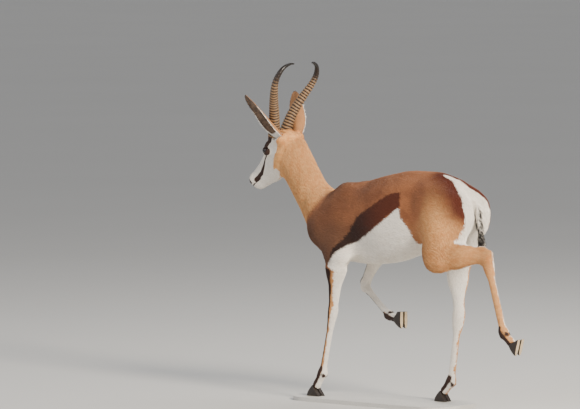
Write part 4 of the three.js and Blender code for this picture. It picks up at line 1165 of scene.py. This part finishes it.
# %% Grow both horns
for word, sign in (("left", -1), ("right", 1)):
    root = head_point(HORN_ROOT[0], -sign * HORN_ROOT[1], HORN_ROOT[2]) - GROUND
    way = [(a, sign * b, c) for a, b, c in HORN_WAY]
    sunk = root - (Vector(way[0]) - root).normalized() * HORN_SUNK
    path = smooth_path([sunk, root] + way, HORN_STEPS) + np.array(GROUND)
    horn = line_object("horn_" + word + "_ringed", path)
    horn_tree.apply(horn, Finish=horn_finish.material)
    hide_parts("horn_" + word)
    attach(horn, "root")
    print(horn.name, len(horn.data.polygons), "faces")

# %% [markdown]
# ## Eyes
#
# Each eye is a ball with a slight bulge for the cornea, as deep in its socket as a real one. A flat disc
# would look pasted on from the side. The iris is a very dark brown and the pupil is a level bar, and a clear
# coat gives the wet shine. Iris and pupil are stored as distances, as the markings of the coat are.

# %% Eye finish
eye_finish = Finish("eye", Roughness=0.14, IOR=1.33, Coat_Weight=0.45, Coat_Roughness=0.03)
rays = eye_finish.noise(900.0, 3.0)
iris = eye_finish.blend(rays, tone(0.11, 0.06, 0.035), tone(0.18, 0.10, 0.055))
in_iris = eye_finish.ease(eye_finish.stored("iris"), -0.0012, 0.0004)
in_pupil = eye_finish.ease(eye_finish.stored("pupil"), -0.0006, 0.0006)
iris = eye_finish.blend(in_iris, tone(0.05, 0.035, 0.03), iris)
eye_finish.feed("Base Color", eye_finish.blend(in_pupil, iris, tone(0.015, 0.015, 0.02)))
print("eye finish with", len(eye_finish.tree.nodes), "nodes")

# %% Eyeballs
EYE_RADIUS, IRIS_RADIUS, PUPIL_HIGH, PUPIL_LONG, CORNEA = 0.0157, 0.0108, 0.0034, 0.0028, 0.05
for word, sign in (("left", 1), ("right", -1)):
    middle = head_point(EYE_AT, sign * EYE_OUT, EYE_UP)
    gaze = (head_side * sign + head_ahead * 0.12 + head_up * 0.16).normalized()
    level = gaze.cross(head_up).normalized()
    steep = level.cross(gaze)
    rows, turns, levels = [], 48, 30
    for i in range(levels + 1):
        polar = math.pi * i / levels
        for j in range(turns):
            angle = 2 * math.pi * j / turns
            aside = level * math.cos(angle) + steep * math.sin(angle)
            away = gaze * math.cos(polar) + aside * math.sin(polar)
            bulge = 1.0 + CORNEA * math.exp(-(polar / 0.62) ** 4)
            rows.append(middle + away * EYE_RADIUS * bulge)
    faces = [
        (i * turns + j, i * turns + (j + 1) % turns, (i + 1) * turns + (j + 1) % turns, (i + 1) * turns + j)
        for i in range(levels) for j in range(turns)
    ]
    ball = mesh_object("eyeball_" + word, rows, faces)
    face_outward(ball, 0.00002)
    rest = points_of(ball) - np.array(middle)
    sideways, upright = rest @ np.array(level), rest @ np.array(steep)
    ahead = rest @ np.array(gaze) > 0
    bar = PUPIL_HIGH - np.maximum(np.abs(upright), np.abs(sideways) - PUPIL_LONG)
    add_layer(ball, "pupil", np.where(ahead, bar, OUTSIDE))
    add_layer(ball, "iris", np.where(ahead, IRIS_RADIUS - np.hypot(sideways, upright), OUTSIDE))
    finish_with(ball, eye_finish.material)
    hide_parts("eye_" + word)
    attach(ball, "root")
print("two eyeballs")

# %% [markdown]
# ## Ears
#
# An ear is a leaf folded round its length into a cup. A flat leaf would show no inside. The loft has two
# walls, a fraction of a millimetre apart at the rim, and stores whether a point is inside or outside and how
# near the rim it is, so one finish can give the fawn back, the dark lining and the pale edge. Fine tufts
# cover the back and a fringe grows over the front rim.

# %% Ear finish
ear_finish = Finish("ear", Roughness=0.7, Sheen_Weight=0.1, Specular_IOR_Level=0.3)
ear_fray = (ear_finish.noise(130.0) - 0.5) * 0.5
ear_back = ear_finish.blend(ear_finish.noise(40.0), tone(0.74, 0.53, 0.34), tone(0.66, 0.46, 0.30))
ear_patchy = ear_finish.ease(ear_finish.noise(60.0), 0.3, 0.7)
ear_lining = ear_finish.blend(ear_patchy, tone(0.30, 0.24, 0.20), tone(0.47, 0.38, 0.31))
front_edge = ear_finish.ease(ear_finish.stored("front") + ear_fray, 0.35, 0.75)
ear_lining = ear_finish.blend(front_edge, ear_lining, WHITE)
ear_tone = ear_finish.blend(ear_finish.ease(ear_finish.stored("inside"), 0.4, 0.6), ear_back, ear_lining)
white_edge = ear_finish.ease(ear_finish.stored("white") + ear_fray, 0.3, 0.7)
ear_tone = ear_finish.blend(white_edge, ear_tone, WHITE)
dark_edge = ear_finish.ease(ear_finish.stored("dark") + ear_fray, 0.45, 0.8)
ear_tone = ear_finish.blend(dark_edge, ear_tone, tone(0.16, 0.12, 0.10))
ear_finish.feed("Base Color", ear_finish.shaded(ear_tone, 0.88, 0.10))
ear_finish.bump(ear_finish.noise(420.0), 0.3, 0.001)
print("ear finish with", len(ear_finish.tree.nodes), "nodes")

# %% Ear lofts
EAR_ROOT = (0.020, 0.047, 0.004)  # along, out and up from the head's own middle line
EAR_STUB, EAR_LENGTH, EAR_WIDTH, EAR_CUP = 0.012, 0.200, 0.060, 0.017
EAR_LEAN, EAR_FACE = Vector((-0.45, 0.42, 0.79)), Vector((-0.42, 0.90, 0.0))


def grow_coat(obj, name, finish, **values):
    """Strews tufts over the whole of an object that carries hair, thick and lie, and returns them."""
    piece = bpy.data.objects.new(name, obj.data.copy())
    bpy.context.collection.objects.link(piece)
    values["Density"] *= QUICK_SHARE
    tufts.apply(piece, Lock=lock, Finish=finish, **values)
    piece.data.name = name
    return piece


def along_surface(obj, ways):
    """Directions laid flat on an object's surface."""
    normals_here = normals_of(obj)
    ways = np.asarray(ways, float)
    return unit(ways - normals_here * (ways * normals_here).sum(axis=1, keepdims=True))


def make_ear(word, sign):
    """One ear of two walls, with its stored edges and its coat."""
    steps, sides = 46, 20
    lean = Vector((EAR_LEAN.x, sign * EAR_LEAN.y, EAR_LEAN.z)).normalized()
    face_way = Vector((EAR_FACE.x, sign * EAR_FACE.y, 0.0))
    opening = lean.cross(face_way).cross(lean).normalized()
    across = lean.cross(opening)
    root = head_point(EAR_ROOT[0], -sign * EAR_ROOT[1], EAR_ROOT[2])
    rows, rim_share, inner, height = [], [], [], []
    for i in range(steps + 1):
        t = (i / steps) ** 0.9
        end = math.sqrt(max(0.0006, 1 - (max(0.0, t - 0.38) / 0.622) ** 2))
        wide = EAR_WIDTH / 2 * float(step(-0.35, 0.4, t)) * end
        curl = 1.5 - 0.75 * float(step(0, 0.8, t))
        radius = wide / math.sin(min(curl, 1.57))
        middle = root + lean * (EAR_STUB * 0.2 + EAR_LENGTH * t)
        thick_here = 0.0042 if i == 0 else 0.0024 * (1.15 - 0.8 * t)
        for wall in (0, 1):
            fold = [(s / sides) * 2 - 1 for s in range(sides + 1)]
            for f in (fold if wall == 0 else fold[::-1]):
                thin = thick_here * (1 - abs(f) ** 3 * 0.75)
                r = radius - (thin if wall else 0.0)
                ripple = 0.0006 * math.sin(9 * f + 4 * t) * t * (1 - t)
                turn = f * curl * (0.985 if wall else 1.0)
                rows.append(
                    middle + across * (r * math.sin(turn))
                    + opening * (radius - (r + ripple) * math.cos(turn) - EAR_CUP * (1 - t)))
                rim_share.append(f)
                inner.append(wall)
                height.append(t)
    count = 2 * (sides + 1)
    faces = [
        (i * count + j, i * count + (j + 1) % count, (i + 1) * count + (j + 1) % count, (i + 1) * count + j)
        for i in range(steps) for j in range(count)
    ]
    faces += [tuple(range(count)), tuple(range(steps * count, (steps + 1) * count))]
    ear = mesh_object("ear_" + word + "_cup", rows, faces)
    f, wall, t = np.array(rim_share) * sign, np.array(inner, float), np.array(height)
    add_layer(ear, "inside", wall)
    add_layer(ear, "front", step(-0.2, 0.9, -f) * step(0.95, 0.55, t))
    edge = step(0.90, 1.0, np.abs(f))
    add_layer(ear, "white", np.maximum(edge * step(0.85, 0.6, t), 0.9 * wall * step(0.22, 0.08, t)))
    add_layer(ear, "dark", edge * step(0.62, 0.8, t) + 0.8 * step(0.95, 1.0, t))
    fringe = 0.005 * step(0.7, 1.0, np.abs(f)) * step(1.0, 0.4, t)
    add_layer(ear, "hair", 0.0035 + fringe + 0.004 * step(0.25, 0.0, t))
    add_layer(ear, "thick", np.where(wall > 0, 0.25 + 0.75 * step(0.55, 1.0, np.abs(f)), 1.0))
    add_layer(ear, "region", np.zeros(len(ear.data.polygons)), "FLOAT", "FACE")
    face_outward(ear)
    outer_edge = np.outer(np.sign(f) * 0.5, np.array(across) * sign)
    add_layer(ear, "lie", along_surface(ear, np.array(lean) + outer_edge), "FLOAT_VECTOR")
    corners = corners_of(ear)
    flat = np.stack([0.25 + 0.23 * f[corners] + 0.5 * wall[corners], 0.02 + 0.96 * t[corners]], axis=1)
    add_layer(ear, "pattern", flat, "FLOAT2", "CORNER")
    finish_with(ear, ear_finish.material)
    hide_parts("ear_" + word)
    coat = grow_coat(
        ear, "ear_" + word + "_coat", ear_finish.material,
        Region=0.0, Density=210000.0, Width=0.0013, Lift=0.08, Seed=31)
    for piece in (ear, coat):
        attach(piece, "root")
    print(ear.name, len(ear.data.polygons), "faces, coat", len(coat.data.polygons))


make_ear("left", -1)
make_ear("right", 1)

# %% [markdown]
# ## Hooves
#
# A cloven hoof is two wedges of horn with rounded walls and flat soles. They start as copies of the solids,
# and a fine remesh with a few rounds of smoothing takes the facets out and leaves the cleft. The walls are
# dark, and the soles, which show on the lifted feet, are a pale cream.

# %% Hooves
hoof_finish = Finish("hoof", Roughness=0.45, Specular_IOR_Level=0.45)
hoof_grain = hoof_finish.noise(180.0, 4.0, 0.6, hoof_finish.stretched((0.4, 0.4, 1.6)))
hoof_tone = hoof_finish.blend(hoof_grain, tone(0.10, 0.08, 0.07), tone(0.20, 0.155, 0.125))
hoof_pale = hoof_finish.blend(hoof_grain, tone(0.66, 0.58, 0.46), tone(0.80, 0.72, 0.60))
edge_share = hoof_finish.ease(hoof_finish.stored("edge") + (hoof_grain - 0.5) * 0.5, 0.35, 0.85)
hoof_finish.feed("Base Color", hoof_finish.blend(edge_share, hoof_tone, hoof_pale))
hoof_finish.bump(hoof_grain, 0.5, 0.0010)


def sole_way(claws, down):
    """The way that the flat soles of a hoof face: the largest flat area at the end of the leg."""
    areas = {}
    for claw in claws:
        for face in nodes[claw].data.polygons:
            if abs(face.normal.y) < 0.35 and face.normal.dot(down) > 0.3:
                key = tuple(round(v, 1) for v in face.normal)
                areas[key] = areas.get(key, 0.0) + face.area
    return unit(np.array(max(areas, key=areas.get)))


for leg in JOINTS:
    claws = [n for n in nodes if n.startswith(leg + "_hoof")]
    hoof = melted("hoof_" + leg, claws, 0.0016, 0.0)
    rows = smoothed(hoof, np.full(len(hoof.data.vertices), 4))
    sole = sole_way(claws, (Vector(JOINTS[leg][3]) - Vector(JOINTS[leg][2])).normalized())
    reach = rows @ sole
    low = (reach - reach.min()) / max(np.ptp(reach), 1e-6)
    on_sole = step(0.55, 0.85, normals_of(hoof) @ sole) * step(0.3, 0.5, low)
    add_layer(hoof, "edge", on_sole + step(0.10, 0.0, low) * 0.4)
    finish_with(hoof, hoof_finish.material)
    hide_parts(*claws)
    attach(hoof, "root")
    print(hoof.name, len(hoof.data.polygons), "faces")

# %% [markdown]
# ## Tail
#
# The tail hangs in the cleft of the rump. It is white, and a thin line of black hair runs down its lower half
# to the tip. Its core is a smooth copy of the solid, and long tufts cover it and end past the tip.

# %% Tail
TAIL_ROOT, TAIL_TIP = Vector((0.325, -0.002, 0.718)), Vector((0.372, -0.004, 0.590))
tail = melted("tail_core", ["tail"], 0.0018, 0.0)
rows = smoothed(tail, np.full(len(tail.data.vertices), 5)) - np.array(GROUND)
tail_way = (TAIL_TIP - TAIL_ROOT).normalized()
t = ((rows - np.array(TAIL_ROOT)) @ np.array(tail_way)) / (TAIL_TIP - TAIL_ROOT).length
tail_finish = Finish("tail hair", Roughness=0.7, Sheen_Weight=0.1, Specular_IOR_Level=0.3)
tail_white = tail_finish.blend(tail_finish.noise(70.0), WHITE, WHITE_SHADE)
tail_fray = (tail_finish.noise(150.0) - 0.5) * 0.008
black_share = tail_finish.ease(tail_finish.stored("black") + tail_fray, -0.0015, 0.0015)
tail_tone = tail_finish.blend(black_share, tail_white, tone(0.085, 0.06, 0.05))
tail_finish.feed("Base Color", tail_finish.shaded(tail_tone, 0.90))
tail_finish.bump(tail_finish.noise(300.0, 3.0, 0.6, tail_finish.stretched((1.0, 1.0, 0.2))), 0.4, 0.0015)
tail_line = np.minimum((t - 0.26) * 0.1, 0.0031 - np.abs(rows[:, 1] + 0.0068))
add_layer(tail, "black", tail_line)
add_layer(tail, "hair", 0.022 + 0.014 * step(0.3, 1.0, t))
add_layer(tail, "thick", np.ones(len(rows)))
add_layer(tail, "region", np.zeros(len(tail.data.polygons)), "FLOAT", "FACE")
add_layer(tail, "lie", along_surface(tail, np.tile(np.array(tail_way), (len(rows), 1))), "FLOAT_VECTOR")
corners = corners_of(tail)
round_tail = np.arctan2(rows[:, 1] + 0.003, rows[:, 0] - 0.35) / (2 * math.pi)
flat = np.stack([0.5 + 0.48 * round_tail[corners], np.clip(0.1 + 0.6 * t[corners], 0, 1)], axis=1)
add_layer(tail, "pattern", flat, "FLOAT2", "CORNER")
finish_with(tail, tail_finish.material)
tail_coat = grow_coat(
    tail, "tail_coat", tail_finish.material, Region=0.0, Density=150000.0, Width=0.0022, Lift=0.15, Seed=41)
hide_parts("tail")
for piece in (tail, tail_coat):
    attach(piece, "root")
print("tail", len(tail.data.polygons), "faces, coat", len(tail_coat.data.polygons))

# %% [markdown]
# ## Display base
#
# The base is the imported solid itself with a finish: a pale stone composite with fine specks, so that it
# stays quiet under the animal.

# %% Base
stand_finish = Finish("base", Roughness=0.7)
specks = stand_finish.ease(stand_finish.noise(320.0, 2.0), 0.60, 0.72)
mottled = stand_finish.blend(stand_finish.noise(14.0), tone(0.80, 0.79, 0.77), tone(0.75, 0.74, 0.72))
stand_finish.feed("Base Color", stand_finish.blend(specks, mottled, tone(0.58, 0.57, 0.55)))
stand_finish.bump(stand_finish.noise(260.0), 0.15, 0.0006)
stand = nodes["stand_base"]
stand.data.materials.clear()
stand.data.materials.append(stand_finish.material)
print("base finished")

# %% [markdown]
# ## Studio
#
# The part is shown on a plain pale floor under soft light. Three large area lights stand round it: a warm one
# from the right and behind, so that the lit edge parts the legs, and two weak ones that fill the shade.

# %% Floor and lights
floor = mesh_object("floor", [(-90, -90, 0), (90, -90, 0), (90, 90, 0), (-90, 90, 0)], [(0, 1, 2, 3)])
floor_finish = Finish("floor", Roughness=0.9)
cloudy = floor_finish.blend(floor_finish.noise(0.8, 2.0), tone(0.80, 0.79, 0.77), tone(0.78, 0.77, 0.75))
floor_finish.feed("Base Color", cloudy)
floor.data.materials.append(floor_finish.material)


def lamp(name, place, size, power, colour):
    """A round area light that looks at the middle of the part."""
    data = bpy.data.lights.new(name, "AREA")
    data.shape, data.size, data.energy, data.color = "DISK", size, power, colour
    made = bpy.data.objects.new(name, data)
    made.location = place
    made.rotation_euler = (Vector((0, 0, 0.6)) - Vector(place)).to_track_quat("-Z", "Y").to_euler()
    bpy.context.collection.objects.link(made)


lamp("key", (5.0, -1.5, 3.2), 1.6, 620.0, (1.0, 0.92, 0.80))
lamp("fill", (-3.0, -4.5, 3.0), 4.0, 95.0, (0.93, 0.96, 1.0))
lamp("top", (-0.5, 2.5, 4.5), 3.0, 110.0, (1.0, 1.0, 1.0))
world = bpy.data.worlds.new("studio")
world.use_nodes = True
world.node_tree.nodes["Background"].inputs["Color"].default_value = (0.86, 0.88, 0.92, 1.0)
world.node_tree.nodes["Background"].inputs["Strength"].default_value = 0.55
bpy.context.scene.world = world
print("three lights and a pale floor")
